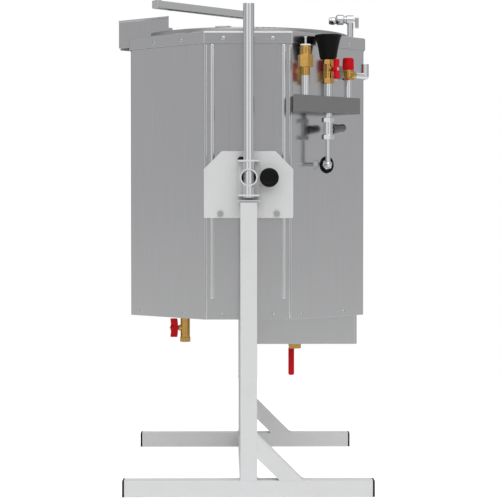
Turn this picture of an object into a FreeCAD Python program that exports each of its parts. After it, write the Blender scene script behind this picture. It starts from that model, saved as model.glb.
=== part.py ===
import FreeCAD, Part
import math
import os

# Tilting jacketed cooking kettle on a floor stand, in millimetres.
# Origin: underside of the stand's crossbar, midway between the rails, below the tilt axis.
# +Z up, -X is the pouring side, the tilt axis lies along Y and -Y is the lever side.

V = FreeCAD.Vector
UP = V(0, 0, 1)

# Stand
tube_side = 40.0
tube_wall = 3.0
rail_front = 303.0
rail_rear = 302.0
stand_clearance = 158.0
cap_thick = 5.0
cap_plug = 14.0
post_below_pivot = 61.0
post_cap_half = 25.5
post_cap_thick = 7.0
brace_reach = 110.0
pivot_z = 764.0

# Bearing housings
housing_half = 107.5
housing_below = 97.0
housing_above = 64.0
housing_chamfer = 43.0
housing_depth = 45.0
housing_sheet = 3.0
carrier_thick = 10.0
carrier_inset = 12.0
carrier_boss_radius = 34.0
carrier_boss_end = 43.0
bush_wall = 4.8
bolt_x = 68.0
bolt_below = 86.0
bolt_across = 13.0
bolt_head = 5.5

# Casing
casing_clearance = 18.7
diagonal_clearance = 7.2
cover_above_pivot = 364.0
case_height = 713.0
sheet = 1.5
case_bend = 6.0
cover_overhang = 4.0
cover_skirt = 31.0
seat_gap = 0.3
panel_return = 18.0
bead_x = 88.0
bead_above_bottom = 63.0
bead_below_cover = 31.0
bead_radius = 4.5
bead_rise = 2.2
screw_radius = 4.5
screw_height = 2.4
top_screw_drop = 19.0
low_screw_rise = 12.0
flat_top_screws = (-61.0, 61.0)
flat_low_screws = (-63.0, 63.0)
diagonal_top_screws = (-44.0, 55.0)
pipe_face_top_screws = (-44.0, 79.0)
diagonal_low_screws = (-97.0, 60.0)
front_top_screws = (-92.0, 92.0)

# Vessel, jacket and lagging
vessel_radius = 250.0
vessel_wall = 2.5
vessel_depth = 566.0
vessel_knuckle = 70.0
vessel_crown = 500.0
rim_width = 20.0
rim_height = 13.0
rim_wall = 3.0
jacket_gap = 13.0
jacket_wall = 2.5
jacket_below_cover = 58.0
jacket_depth = 62.0
nipple_bore = 9.0
lagging_thick = 13.0
lagging_below_cover = 28.0
lagging_above_bottom = 55.0
element_radius = 5.5
element_rings = 3
element_first = 90.0
element_pitch = 34.0
element_angle = 40.0
element_leg = 8.0
element_height = 42.0
nipple_entry = 8.0

# Control box under the casing
box_inset = 17.0
box_half_width = 120.0
box_height = 75.0
box_corner = 8.0

# Trunnions, lever and index plunger
trunnion_radius = 21.2
trunnion_wall = 3.5
trunnion_proud = 6.0
trunnion_plate = 120.0
trunnion_plate_thick = 6.0
running_gap = 0.05
slip_gap = 0.1
lever_radius = 13.45
lever_wall = 2.6
lever_inset = 15.0
lever_below = 48.0
lever_above = 415.0
socket_half = 25.6
socket_plate = 4.5
socket_above = 42.0
socket_below = 45.0
socket_stand_off = 3.5
socket_reach = 34.0
index_radius = 49.0
index_pin_radius = 5.0
index_travel = 8.0
index_holes_deg = (0.0, 90.0)
knob_radius = 23.0
knob_length = 20.5
sleeve_head = 4.0
lug_radius = 20.0

# Pipes on the lever-side rear diagonal face; s runs along the face, offset is square to it
pipe_radius = 10.65
pipe_wall = 2.3
pipe_offset = 43.5
vent_s = -133.0
fill_s = -50.0
safety_s = 25.5
bar_front = 64.0
bar_corner_gap = 2.0
bar_right = 48.0
bar_below_cover = 201.0
bar_height = 40.0
bar_sheet = 3.0
header_radius = 13.0
header_wall = 3.0
boss_height = 15.0
tee_below_bar = 41.0
tee_radius = 12.6
union_across = 28.0
union_height = 12.0
strainer_length = 34.0
strainer_rise = 6.0
inlet_below_tee = 86.0
inlet_radius = 6.0
inlet_wall = 1.5
inlet_nut_across = 22.0
grommet_radius = 22.0
vent_above_bar = 49.0
fill_above_bar = 33.0
safety_above_bar = 45.0
funnel_bottom_radius = 19.0
funnel_top_radius = 33.5
funnel_height = 61.0
funnel_wall = 2.0
wing_height = 49.0
wing_thick = 10.0
fill_across = 25.0
fill_height = 60.0
fill_handle_z = 35.0
stem_radius = 4.0
hub_radius = 9.0
vent_across = 34.0
vent_radius = 14.2
vent_top = 73.0
vent_pin_radius = 2.8
vent_pin_top = 96.0
safety_radius = 13.5
safety_across = 27.0
safety_arm_z = 14.0
cap_radius = 14.5
cap_low = 25.3
arm_radius = 7.5
arm_start = 24.0
elbow_radius = 10.4
elbow_wall = 2.0
elbow_reach = 63.8
elbow_top = 44.0
elbow_bore_depth = 24.0

# Valves under the casing
drain_x = -163.0
outlet_x = 127.0
drain_length = 78.0
drain_across = 27.0
drain_handle_z = 37.0
drain_thread = 7.5
outlet_thread = 9.3
thread_depth = 14.0
outlet_drop = 20.5
outlet_across = 32.0
outlet_stem_side = 8.5
outlet_stem_height = 9.5
outlet_boss_end = 22.0
outlet_lever_length = 80.0
outlet_lever_width = 17.0
outlet_lever_thick = 4.0

# Water tap on the cover
tap_edge = 23.0
tap_y = 60.0
tap_radius = 8.35
tap_height = 79.0
tap_knuckle_radius = 14.0
tap_reach = 39.0
nozzle_reach = 18.0
nozzle_radius = 10.5
nozzle_bore = 6.5
nozzle_drop = 3.0
tap_plate_gap = 4.0
tap_plate_thick = 10.4
tap_plate_width = 12.0
tap_plate_above = 7.5
tap_plate_below = 22.4

# Spout
spout_reach = 35.0
spout_tip_half = 30.0
spout_root_inset = 98.0
spout_root_half = 150.0
spout_height = 52.0
spout_sheet = 2.0
spout_nose_drop = 20.0
spout_hem = 2.6

# Stirrer
bridge_angle = -103.8
bridge_width = 36.0
bridge_sheet = 3.0
bridge_flange = 22.0
bridge_boss = 4.0
shaft_radius = 10.0
shaft_rise = 47.0
shaft_below_bar = 25.0
collar_radius = 16.0
collar_height = 9.0
arm_angle = -132.6
arm_length = 342.0
arm_side = 20.0
paddle_clearance = 18.0
paddle_height = 260.0
paddle_bar = 30.0
paddle_thick = 6.0
paddle_above_floor = 113.0

# Places that follow from the sizes above
cover_top = pivot_z + cover_above_pivot
case_bottom = cover_top - case_height
post_top = pivot_z - post_below_pivot
jacket_radius = vessel_radius + vessel_wall + jacket_gap + jacket_wall
lagging_radius = jacket_radius + seat_gap + lagging_thick
case_half = lagging_radius + casing_clearance
face_distance = lagging_radius + diagonal_clearance
case_corner = face_distance * math.sqrt(2) - case_half
rail_outer_y = case_half + stand_clearance
vessel_floor = cover_top - vessel_depth
rim_radius = vessel_radius + rim_width
rim_top = cover_top + rim_height
jacket_top = cover_top - jacket_below_cover
jacket_floor = vessel_floor - jacket_depth
lagging_top = cover_top - lagging_below_cover
lagging_bottom = case_bottom + lagging_above_bottom
box_length = case_half - box_inset
box_top = case_bottom
box_bottom = case_bottom - box_height
lever_y = rail_outer_y - lever_inset
lever_top = pivot_z + lever_above
bar_end = case_corner + bar_corner_gap
bar_left = bar_end * math.sqrt(2) - face_distance - bar_front
bar_bottom = cover_top - bar_below_cover
bar_top = bar_bottom + bar_height
tee_z = bar_bottom - tee_below_bar
inlet_z = tee_z - inlet_below_tee
vent_base = bar_top + vent_above_bar
fill_base = bar_top + fill_above_bar
safety_base = bar_top + safety_above_bar
tap_x = case_half - tap_edge
tap_top = cover_top + tap_height
spout_tip = case_half + spout_reach
spout_root_x = case_half - spout_root_inset
spout_top = cover_top + spout_height
spout_nose_bottom = cover_top - spout_nose_drop
shaft_top = rim_top + shaft_rise
paddle_radius = vessel_radius - paddle_clearance
paddle_z = vessel_floor + paddle_above_floor
shaft_bottom = paddle_z - shaft_below_bar


def box(x0, x1, y0, y1, z0, z1):
    """Block between two corners, given in any order."""
    low = V(min(x0, x1), min(y0, y1), min(z0, z1))
    return Part.makeBox(abs(x1 - x0), abs(y1 - y0), abs(z1 - z0), low)


def rod(radius, start, end):
    """Round bar from one point to another."""
    axis = end - start
    return Part.makeCylinder(radius, axis.Length, start, axis)


def pipe(radius, wall, start, end):
    """Round tube from one point to another."""
    return rod(radius, start, end).cut(rod(radius - wall, start, end))


def fuse(shapes):
    """One solid from touching or overlapping shapes."""
    body = shapes[0]
    for shape in shapes[1:]:
        body = body.fuse(shape)
    return body.removeSplitter()


def prism(points, start, direction):
    """Closed polygon of points, pushed along a direction."""
    wire = Part.makePolygon(points + [points[0]])
    face = Part.Face(wire)
    if start is not None:
        face.translate(start)
    return face.extrude(direction)


def turned(profile):
    """Solid of revolution about Z from (radius, height) pairs."""
    points = [V(r, 0, z) for r, z in profile]
    wire = Part.makePolygon(points + [points[0]])
    return Part.Face(wire).revolve(V(0, 0, 0), UP, 360)


def hexagon(across, z0, z1):
    """Hexagonal bar on the Z axis by its width across flats, with its corners turned off at both ends."""
    corner = across / math.sqrt(3)
    points = [V(corner * math.cos(a), corner * math.sin(a), z0) for a in
              [math.radians(60 * k + 30) for k in range(6)]]
    bar = prism(points, None, V(0, 0, z1 - z0))
    inner = across / 2 - 0.3
    outer = corner + 0.3
    drop = (outer - inner) * math.tan(math.radians(30))
    chamfers = [(0, z0), (inner, z0), (outer, z0 + drop), (outer, z1 - drop), (inner, z1), (0, z1)]
    return bar.common(turned(chamfers))


def edges_along(shape, direction, test=None):
    """Straight edges parallel to a direction, with an optional test of their midpoint."""
    found = []
    for edge in shape.Edges:
        if edge.Curve.TypeId != "Part::GeomLine":
            continue
        line = edge.Vertexes[-1].Point - edge.Vertexes[0].Point
        if line.cross(direction).Length > 1e-6 * line.Length:
            continue
        if test is None or test(edge.CenterOfMass):
            found.append(edge)
    return found


def mirrored_y(shape):
    """The same piece on the far side."""
    return shape.mirror(V(0, 0, 0), V(0, 1, 0))


nodes = {}


# Stand of welded square tube

def square_tube(x0, x1, y0, y1, z0, z1, axis):
    """Square tube filling a block, open along one axis."""
    w = tube_wall
    inner = {"x": box(x0, x1, y0 + w, y1 - w, z0 + w, z1 - w),
             "y": box(x0 + w, x1 - w, y0, y1, z0 + w, z1 - w),
             "z": box(x0 + w, x1 - w, y0 + w, y1 - w, z0, z1)}[axis]
    return box(x0, x1, y0, y1, z0, z1).cut(inner)


def stand_side():
    """Rail, post and brace of the lever side."""
    half = tube_side / 2
    y_out = -rail_outer_y
    y_in = y_out + tube_side
    rail = square_tube(-rail_front + cap_thick, rail_rear - cap_thick, y_out, y_in, 0, tube_side, "x")
    post = square_tube(-half, half, y_out, y_in, tube_side, post_top, "z")
    post = post.fuse(box(-half, half, y_out, y_in, post_top - tube_wall, post_top))
    cap = box(-post_cap_half, post_cap_half, y_out, y_in, post_top, post_top + post_cap_thick)
    post = post.fuse(cap).removeSplitter()
    slant = tube_side * math.sqrt(2)

    def slab(inset, y0, y1):
        outer = brace_reach - inset * math.sqrt(2)
        inner = brace_reach - slant + inset * math.sqrt(2)
        points = [V(half, y0, tube_side + inner), V(half, y0, tube_side + outer),
                  V(half + outer, y0, tube_side), V(half + inner, y0, tube_side)]
        return prism(points, None, V(0, y1 - y0, 0))

    brace = slab(0, y_out, y_in).cut(slab(tube_wall, y_out + tube_wall, y_in - tube_wall))
    return rail, post, brace


near_rail, near_post, near_brace = stand_side()
nodes["near_rail"] = near_rail
nodes["near_post"] = near_post
nodes["near_brace"] = near_brace
nodes["far_rail"] = mirrored_y(near_rail)
nodes["far_post"] = mirrored_y(near_post)
nodes["far_brace"] = mirrored_y(near_brace)

rail_inner_y = rail_outer_y - tube_side
nodes["crossbar"] = square_tube(-tube_side / 2, tube_side / 2, -rail_inner_y, rail_inner_y,
                                0, tube_side, "y")


def end_cap(x_face, outward):
    """Moulded plug with a flat head that closes a rail's end."""
    y_mid = -(rail_outer_y - tube_side / 2)
    half = tube_side / 2
    head = box(x_face, x_face + outward * cap_thick, y_mid - half, y_mid + half, 0, tube_side)
    lip = [e for e in head.Edges if abs(e.CenterOfMass.x - (x_face + outward * cap_thick)) < 1e-6]
    head = head.makeFillet(1.5, lip)
    grip = half - tube_wall - slip_gap
    plug = box(x_face, x_face - outward * cap_plug, y_mid - grip, y_mid + grip,
               half - grip, half + grip)
    return head.fuse(plug).removeSplitter()


near_caps = [end_cap(-rail_front + cap_thick, -1), end_cap(rail_rear - cap_thick, 1)]
nodes["rail_end_caps"] = Part.makeCompound(near_caps + [mirrored_y(cap) for cap in near_caps])


# Bearing housings, folded sheet with a plate and bush behind each front

housing_front = -rail_inner_y
housing_back = housing_front + housing_depth
index_y = housing_front - socket_stand_off


def housing_outline(inset):
    """Front outline of the housing, drawn in by an amount all round."""
    x = housing_half - inset
    low = pivot_z - housing_below + inset
    high = pivot_z + housing_above - inset
    cut = housing_chamfer - inset * (2 - math.sqrt(2))
    return [V(-x, housing_front, low), V(x, housing_front, low), V(x, housing_front, high - cut),
            V(x - cut, housing_front, high), V(-x + cut, housing_front, high),
            V(-x, housing_front, high - cut)]


def index_point(angle_deg, y):
    """Centre of an index hole at an angle from +X about the tilt axis."""
    a = math.radians(angle_deg)
    return V(index_radius * math.cos(a), y, pivot_z + index_radius * math.sin(a))


def index_drills(y0, y1, radius):
    """Bars that cut the index holes."""
    return [rod(radius, index_point(a, y0), index_point(a, y1)) for a in index_holes_deg]


def bolt_points(y):
    """Where the two housing bolts stand."""
    return [V(side * bolt_x, y, pivot_z - bolt_below) for side in (-1, 1)]


def bearing_housing(with_index):
    """Five-sided folded tray, open towards the kettle."""
    tray = prism(housing_outline(0), None, V(0, housing_depth, 0))
    bends = edges_along(tray, V(0, 1, 0))
    tray = tray.makeFillet(4.0, bends)
    hollow = prism(housing_outline(housing_sheet), V(0, housing_sheet, 0), V(0, housing_depth, 0))
    tray = tray.cut(hollow)
    hole = trunnion_radius + 2.0
    cuts = [rod(hole, V(0, housing_front - 1, pivot_z), V(0, housing_back, pivot_z))]
    cuts += [rod(4.2, p, p + V(0, housing_sheet + 2, 0)) for p in bolt_points(housing_front - 1)]
    if with_index:
        cuts += index_drills(housing_front - 1, housing_front + housing_sheet + 1,
                             index_pin_radius + slip_gap)
    for cutter in cuts:
        tray = tray.cut(cutter)
    return tray


def bearing_carrier(with_index):
    """Thick plate with a boss that holds the bush."""
    y0 = housing_front + housing_sheet
    x = housing_half - carrier_inset
    low = pivot_z - housing_below + housing_sheet + slip_gap
    high = pivot_z + housing_above - carrier_inset
    cut = housing_chamfer - carrier_inset / 2
    points = [V(-x, y0, low), V(x, y0, low), V(x, y0, high - cut), V(x - cut, y0, high),
              V(-x + cut, y0, high), V(-x, y0, high - cut)]
    plate = prism(points, None, V(0, carrier_thick, 0))
    boss = rod(carrier_boss_radius, V(0, y0, pivot_z), V(0, housing_front + carrier_boss_end, pivot_z))
    plate = plate.fuse(boss).removeSplitter()
    plate = plate.cut(rod(trunnion_radius + running_gap + bush_wall, V(0, y0 - 1, pivot_z),
                          V(0, housing_back, pivot_z)))
    for p in bolt_points(y0 - 1):
        plate = plate.cut(rod(4.2, p, p + V(0, carrier_thick + 2, 0)))
    if with_index:
        for cutter in index_drills(y0 - 1, y0 + carrier_thick + 1, index_pin_radius + slip_gap):
            plate = plate.cut(cutter)
    return plate


def bush():
    """Plain bearing bush."""
    start = V(0, housing_front + housing_sheet, pivot_z)
    end = V(0, housing_front + carrier_boss_end, pivot_z)
    return pipe(trunnion_radius + running_gap + bush_wall, bush_wall, start, end)


def hex_bolt(point):
    """Hexagon bolt through the housing and its plate, with a nut behind."""
    head = hexagon(bolt_across, 0, bolt_head)
    shank_length = bolt_head + housing_sheet + carrier_thick + 9
    shank = rod(4.0, V(0, 0, 0.5), V(0, 0, shank_length))
    nut_start = bolt_head + housing_sheet + carrier_thick
    nut = hexagon(bolt_across, nut_start, nut_start + 6.5)
    bolt = fuse([head, shank, nut])
    bolt.rotate(V(0, 0, 0), V(1, 0, 0), -90)
    bolt.translate(point - V(0, bolt_head, 0))
    return bolt


nodes["near_bearing_housing"] = bearing_housing(True)
nodes["far_bearing_housing"] = mirrored_y(bearing_housing(False))
nodes["bearing_carriers"] = Part.makeCompound([bearing_carrier(True),
                                               mirrored_y(bearing_carrier(False))])
nodes["trunnion_bushes"] = Part.makeCompound([bush(), mirrored_y(bush())])
near_bolts = [hex_bolt(p) for p in bolt_points(housing_front)]
nodes["housing_bolts"] = Part.makeCompound(near_bolts + [mirrored_y(b) for b in near_bolts])


# Casing: four panels, a folded cover and a bottom plate round an octagon

def octagon(offset, z):
    """Casing outline moved outwards by an amount, as eight points."""
    half = case_half + offset
    corner = case_corner + offset * math.tan(math.radians(22.5))
    return [V(corner, -half, z), V(half, -corner, z), V(half, corner, z), V(corner, half, z),
            V(-corner, half, z), V(-half, corner, z), V(-half, -corner, z), V(-corner, -half, z)]


def octagon_block(offset, z0, z1, bend=0.0):
    """Octagonal prism with rounded upright edges."""
    block = prism(octagon(offset, z0), None, V(0, 0, z1 - z0))
    if bend > 0:
        block = block.makeFillet(bend, edges_along(block, UP))
    return block


panel_top = cover_top - sheet - seat_gap
outer_skin = octagon_block(0, case_bottom, panel_top, case_bend)
inner_skin = octagon_block(-sheet, case_bottom - 1, panel_top + 1, case_bend - sheet)
shell = outer_skin.cut(inner_skin)
far = 2 * case_half
seam = case_corner - case_bend / 2


def side_panel():
    """Lever-side flat panel with turned edges and two pressed beads."""
    panel = shell.common(box(-seam, seam, -far, 0, 0, 2 * cover_top))
    return_foot = case_bottom + panel_return + 2 * sheet
    for side in (-1, 1):
        x0 = side * seam
        panel = panel.fuse(box(x0, x0 - side * sheet, -case_half + sheet / 2,
                               -case_half + panel_return, return_foot, panel_top))
    bead_bottom = case_bottom + bead_above_bottom
    top = cover_top - bead_below_cover
    depth = bead_radius - bead_rise
    for side in (-1, 1):
        x = side * bead_x
        y = -case_half + depth
        bar = rod(bead_radius, V(x, y, bead_bottom + bead_radius), V(x, y, top - bead_radius))
        ends = [Part.makeSphere(bead_radius, V(x, y, z)) for z in
                (bead_bottom + bead_radius, top - bead_radius)]
        bead = fuse([bar] + ends)
        bead = bead.common(box(x - bead_radius, x + bead_radius, -case_half - bead_radius,
                               -case_half + sheet / 2, 0, 2 * cover_top))
        panel = panel.fuse(bead)
    hole = rod(trunnion_radius + slip_gap, V(0, -case_half - 1, pivot_z),
               V(0, -case_half + sheet + 1, pivot_z))
    return panel.cut(hole).removeSplitter()


nodes["near_side_panel"] = side_panel()
nodes["far_side_panel"] = mirrored_y(side_panel())
panel_gap = 0.4
front_panel = shell.common(box(-far, -seam - panel_gap, -far, far, 0, 2 * cover_top))
rear_panel = shell.common(box(seam + panel_gap, far, -far, far, 0, 2 * cover_top))
nodes["front_panel"] = front_panel


def top_cover():
    """Folded lid sheet with a skirt and a round opening for the vessel."""
    outer = octagon_block(cover_overhang, cover_top - cover_skirt, cover_top, case_bend)
    rim_edges = [e for e in outer.Edges if abs(e.BoundBox.ZMin - cover_top) < 1e-6]
    outer = outer.makeFillet(case_bend - 1, rim_edges)
    inner = octagon_block(cover_overhang - sheet, cover_top - cover_skirt - 1, cover_top - sheet,
                          case_bend - sheet)
    cover = outer.cut(inner)
    cover = cover.cut(rod(vessel_radius + vessel_wall + slip_gap, V(0, 0, cover_top - 5),
                          V(0, 0, cover_top + 5)))
    return cover.cut(rod(tap_radius + slip_gap, V(tap_x, tap_y, cover_top - 5),
                         V(tap_x, tap_y, cover_top + 5)))


nodes["top_cover"] = top_cover()

plate_low = case_bottom + seat_gap
bottom = octagon_block(-sheet - seat_gap, plate_low, plate_low + sheet, case_bend - sheet)
lip = octagon_block(-sheet - seat_gap, plate_low, plate_low + panel_return, case_bend - sheet)
lip = lip.cut(octagon_block(-2 * sheet - seat_gap, plate_low - 1, plate_low + panel_return + 1,
                            case_bend - 2 * sheet))
bottom = bottom.fuse(lip)
plate_holes = [rod(14.0, V(x, 0, case_bottom - 5), V(x, 0, case_bottom + 5))
               for x in (drain_x, outlet_x)]


# Vessel, jacket, lagging and heating elements

def dish(radius, floor, top, knuckle, crown):
    """Solid pot shape: a straight wall, a knuckle bend and a domed floor, each tangent to the next."""
    depth = crown - math.sqrt((crown - knuckle) ** 2 - (radius - knuckle) ** 2)
    centre = V(radius - knuckle, 0, floor + depth)
    crown_centre = V(0, 0, floor + crown)
    meet = (centre - crown_centre).normalize()
    join = crown_centre + meet * crown
    half_angle = math.atan2(meet.x, -meet.z) / 2
    crown_mid = crown_centre + V(math.sin(half_angle), 0, -math.cos(half_angle)) * crown
    bend_angle = (math.atan2(meet.z, meet.x)) / 2
    bend_mid = centre + V(math.cos(bend_angle), 0, math.sin(bend_angle)) * knuckle
    start = V(radius, 0, floor + depth)
    wire = Part.Wire([Part.LineSegment(V(radius, 0, top), start).toShape(),
                      Part.Arc(start, bend_mid, join).toShape(),
                      Part.Arc(join, crown_mid, V(0, 0, floor)).toShape(),
                      Part.LineSegment(V(0, 0, floor), V(0, 0, top)).toShape(),
                      Part.LineSegment(V(0, 0, top), V(radius, 0, top)).toShape()])
    return Part.Face(wire).revolve(V(0, 0, 0), UP, 360)


def dome_z(r, floor, crown):
    """Height of a domed floor at a distance from its centre."""
    return floor + crown - math.sqrt(crown ** 2 - r ** 2)


def vessel():
    """Deep pan with a dished floor and a rolled rim that rests on the cover."""
    outside = dish(vessel_radius + vessel_wall, vessel_floor - vessel_wall, rim_top - rim_wall,
                   vessel_knuckle + vessel_wall, vessel_crown + vessel_wall)
    inside = dish(vessel_radius, vessel_floor, rim_top + 1, vessel_knuckle, vessel_crown)
    low = cover_top + seat_gap
    rim = turned([(vessel_radius, low), (rim_radius, low), (rim_radius, rim_top),
                  (vessel_radius, rim_top)])
    rims = [e for e in rim.Edges if abs(e.BoundBox.ZMin - rim_top) < 1e-6 and
            abs(e.BoundBox.ZMax - rim_top) < 1e-6]
    rim = rim.makeFillet(4.0, rims)
    groove = turned([(vessel_radius + vessel_wall, low - 1), (rim_radius - rim_wall, low - 1),
                     (rim_radius - rim_wall, rim_top - rim_wall),
                     (vessel_radius + vessel_wall, rim_top - rim_wall)])
    return outside.fuse(rim).cut(inside).cut(groove).removeSplitter()


nodes["vessel"] = vessel()

def element_legs(z0, z1, radius):
    """Two legs of the heating elements' header, or the bars that cut holes for them."""
    a = math.radians(element_angle)
    spots = [element_first + 15.0, element_first + element_pitch * (element_rings - 1) - 8.0]
    return [rod(radius, V(r * math.cos(a), r * math.sin(a), z0), V(r * math.cos(a), r * math.sin(a), z1))
            for r in spots]


def jacket():
    """Steam jacket round the lower vessel, closed against it at the top."""
    outside = dish(jacket_radius, jacket_floor, jacket_top, vessel_knuckle, vessel_crown)
    inside = dish(jacket_radius - jacket_wall, jacket_floor + jacket_wall, jacket_top - jacket_wall,
                  vessel_knuckle - jacket_wall, vessel_crown - jacket_wall)
    shell_body = outside.cut(inside)
    bore = rod(vessel_radius + vessel_wall + slip_gap, V(0, 0, jacket_top - 20), V(0, 0, jacket_top + 20))
    shell_body = shell_body.cut(bore)
    low = jacket_floor - 5
    high = jacket_floor + 60
    drills = [rod(nipple_bore, V(x, 0, low), V(x, 0, high)) for x in (drain_x, outlet_x)]
    for cutter in drills + element_legs(low, high, element_leg + slip_gap):
        shell_body = shell_body.cut(cutter)
    return shell_body


nodes["jacket"] = jacket()

lagging = pipe(lagging_radius, lagging_thick, V(0, 0, lagging_bottom), V(0, 0, lagging_top))
trunnion_bore = rod(trunnion_radius + 1.0, V(0, -case_half, pivot_z), V(0, case_half, pivot_z))
lagging = lagging.cut(trunnion_bore)


def heating_elements():
    """Ring elements in the jacket's base, joined by one header with legs down to the box."""
    ring_z = jacket_floor + element_height
    last = element_first + element_pitch * (element_rings - 1)
    rings = [Part.makeTorus(element_first + element_pitch * k, element_radius, V(0, 0, ring_z))
             for k in range(element_rings)]
    header = box(element_first - 6.0, last + 6.0, -12.0, 12.0, ring_z - 8.0, ring_z + 8.0)
    header.rotate(V(0, 0, 0), UP, element_angle)
    return fuse(rings + [header] + element_legs(box_top - 15.0, ring_z, element_leg))


nodes["heating_elements"] = heating_elements()
for cutter in plate_holes + element_legs(case_bottom - 5, case_bottom + 5, element_leg + 1.0):
    bottom = bottom.cut(cutter)
nodes["bottom_plate"] = bottom.removeSplitter()


def control_box():
    """Folded tray screwed under the casing."""
    outer = box(0, box_length, -box_half_width, box_half_width, box_bottom, box_top)
    outer = outer.makeFillet(box_corner, edges_along(outer, UP))
    inner = box(sheet, box_length - sheet, -box_half_width + sheet, box_half_width - sheet,
                box_bottom + sheet, box_top + 1)
    inner = inner.makeFillet(box_corner - sheet, edges_along(inner, UP))
    tray = outer.cut(inner)
    return tray.cut(rod(14.0, V(outlet_x, 0, box_bottom - 5), V(outlet_x, 0, box_bottom + 5)))


nodes["control_box"] = control_box()


# Trunnions, tilting lever and its socket

lever_bottom = pivot_z - lever_below
jacket_clear = rod(jacket_radius + seat_gap, V(0, 0, 0), V(0, 0, 2 * cover_top))


def trunnion(end_y, with_lever):
    """Tube welded to a flange plate and carried into the jacket."""
    tube = rod(trunnion_radius, V(0, -end_y, pivot_z), V(0, -case_half + 60, pivot_z))
    half = trunnion_plate / 2
    plate = box(-half, half, -case_half - trunnion_plate_thick, -case_half, pivot_z - half,
                pivot_z + half)
    plate = plate.makeFillet(10.0, edges_along(plate, V(0, 1, 0)))
    body = tube.fuse(plate).removeSplitter()
    body = body.cut(rod(trunnion_radius - trunnion_wall, V(0, -end_y - 1, pivot_z), V(0, 0, pivot_z)))
    body = body.cut(jacket_clear)
    if with_lever:
        body = body.cut(rod(lever_radius + slip_gap, V(0, -lever_y, pivot_z - 40),
                            V(0, -lever_y, pivot_z + 40)))
    return body


nodes["near_trunnion"] = trunnion(rail_outer_y + trunnion_proud, True)
nodes["far_trunnion"] = mirrored_y(trunnion(rail_inner_y + 12, False))


def tilt_lever():
    """Straight pipe through the trunnion, closed at the top."""
    foot = V(0, -lever_y, lever_bottom)
    head = V(0, -lever_y, lever_top)
    tube = rod(lever_radius, foot, head)
    tube = tube.makeFillet(1.2, [e for e in tube.Edges if e.BoundBox.ZMin > lever_top - 1])
    return tube.cut(rod(lever_radius - lever_wall, foot - UP, head - V(0, 0, 3)))


nodes["tilt_lever"] = tilt_lever()

web_front = index_y - socket_plate


def lever_socket():
    """U-shaped bracket that grips the lever, with a lug for the index plunger."""
    low = pivot_z - socket_below
    high = pivot_z + socket_above
    web = box(-socket_half, socket_half, web_front, index_y, low, high)
    lug = rod(lug_radius, V(index_radius, web_front, pivot_z), V(index_radius, index_y, pivot_z))
    neck = box(0, index_radius, web_front, index_y, pivot_z - 14, pivot_z + 14)
    outer = web_front - socket_reach
    flanges = [box(-socket_half, socket_half, outer, index_y, z, z + socket_plate)
               for z in (low, high - socket_plate)]
    body = fuse([web, lug, neck] + flanges)
    body = body.cut(rod(trunnion_radius + slip_gap, V(0, outer - 1, pivot_z), V(0, index_y + 1, pivot_z)))
    body = body.cut(rod(lever_radius + slip_gap, V(0, -lever_y, low - 1), V(0, -lever_y, high + 1)))
    return body.cut(rod(8.0, V(index_radius, web_front - 1, pivot_z), V(index_radius, index_y + 1, pivot_z)))


nodes["lever_socket"] = lever_socket()

screw_spot = V(-18.0, web_front - 4.5, pivot_z + socket_above)
nodes["lever_screw"] = Part.makeSphere(9.0, screw_spot + V(0, 0, -1.0)).common(
    rod(8.2, screw_spot, screw_spot + V(0, 0, 12)))


# Index plunger: sleeve in the lug, sliding pin with a round knob

def along_y(shape, x, y, z):
    """Stand a piece built on +Z along +Y at a point."""
    shape.rotate(V(0, 0, 0), V(1, 0, 0), -90)
    shape.translate(V(x, y, z))
    return shape


sleeve = fuse([hexagon(22.0, 0, sleeve_head), rod(7.9, V(0, 0, 0), V(0, 0, sleeve_head + socket_plate))])
sleeve = sleeve.cut(rod(index_pin_radius + running_gap, V(0, 0, -1), V(0, 0, 20)))
nodes["index_sleeve"] = along_y(sleeve, index_radius, web_front - sleeve_head, pivot_z)

knob_back = web_front - sleeve_head - index_travel - 0.5
knob_front = knob_back - knob_length
knob = turned([(0, 0), (knob_radius, 0), (knob_radius, knob_length - 4), (10, knob_length - 4),
               (10, knob_length), (0, knob_length)])
knob = knob.makeFillet(5.0, [e for e in knob.Edges if e.BoundBox.ZMax < 1e-3 and e.BoundBox.XMax > 15])
knob = knob.cut(rod(index_pin_radius + slip_gap, V(0, 0, 8), V(0, 0, knob_length + 1)))
nodes["index_knob"] = along_y(knob, index_radius, knob_front, pivot_z)
pin_tip = index_y + 0.5
nodes["index_pin"] = rod(index_pin_radius, V(index_radius, knob_front + 8, pivot_z),
                         V(index_radius, pin_tip, pivot_z))


# Pipework on the diagonal face beside the lever

def on_face(shape, s, offset, z=0.0):
    """Place a piece built about Z, with its +X turned outwards from the diagonal face."""
    shape.rotate(V(0, 0, 0), UP, -45)
    out = face_distance + offset
    root = math.sqrt(2)
    shape.translate(V((out + s) / root, (-out + s) / root, z))
    return shape


def bar_shell(inset):
    """Block of the bracket drawn in by an amount, with its near end cut in line with the casing's corner."""
    back = -1 if inset else 0
    block = box(back, bar_front - inset, -2 * inset, bar_right - bar_left - inset, inset, bar_height - inset)
    block = on_face(block, bar_left, 0, bar_bottom)
    return block.common(box(bar_end + inset, 2 * case_half, -2 * case_half, 0, bar_bottom, bar_top))


def pipe_bracket():
    """Channel with its back open to the casing, closed round the header that carries the three pipes."""
    body = bar_shell(0).cut(bar_shell(bar_sheet))
    bore = pipe_radius + slip_gap
    middle = bar_height / 2
    for s in (vent_s, fill_s, safety_s):
        drill = rod(bore, V(0, 0, middle), V(0, 0, bar_height + 1))
        body = body.cut(on_face(drill, s, pipe_offset, bar_bottom))
    return body.cut(on_face(rod(bore, V(0, 0, -1), V(0, 0, middle)), fill_s, pipe_offset, bar_bottom))


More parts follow.
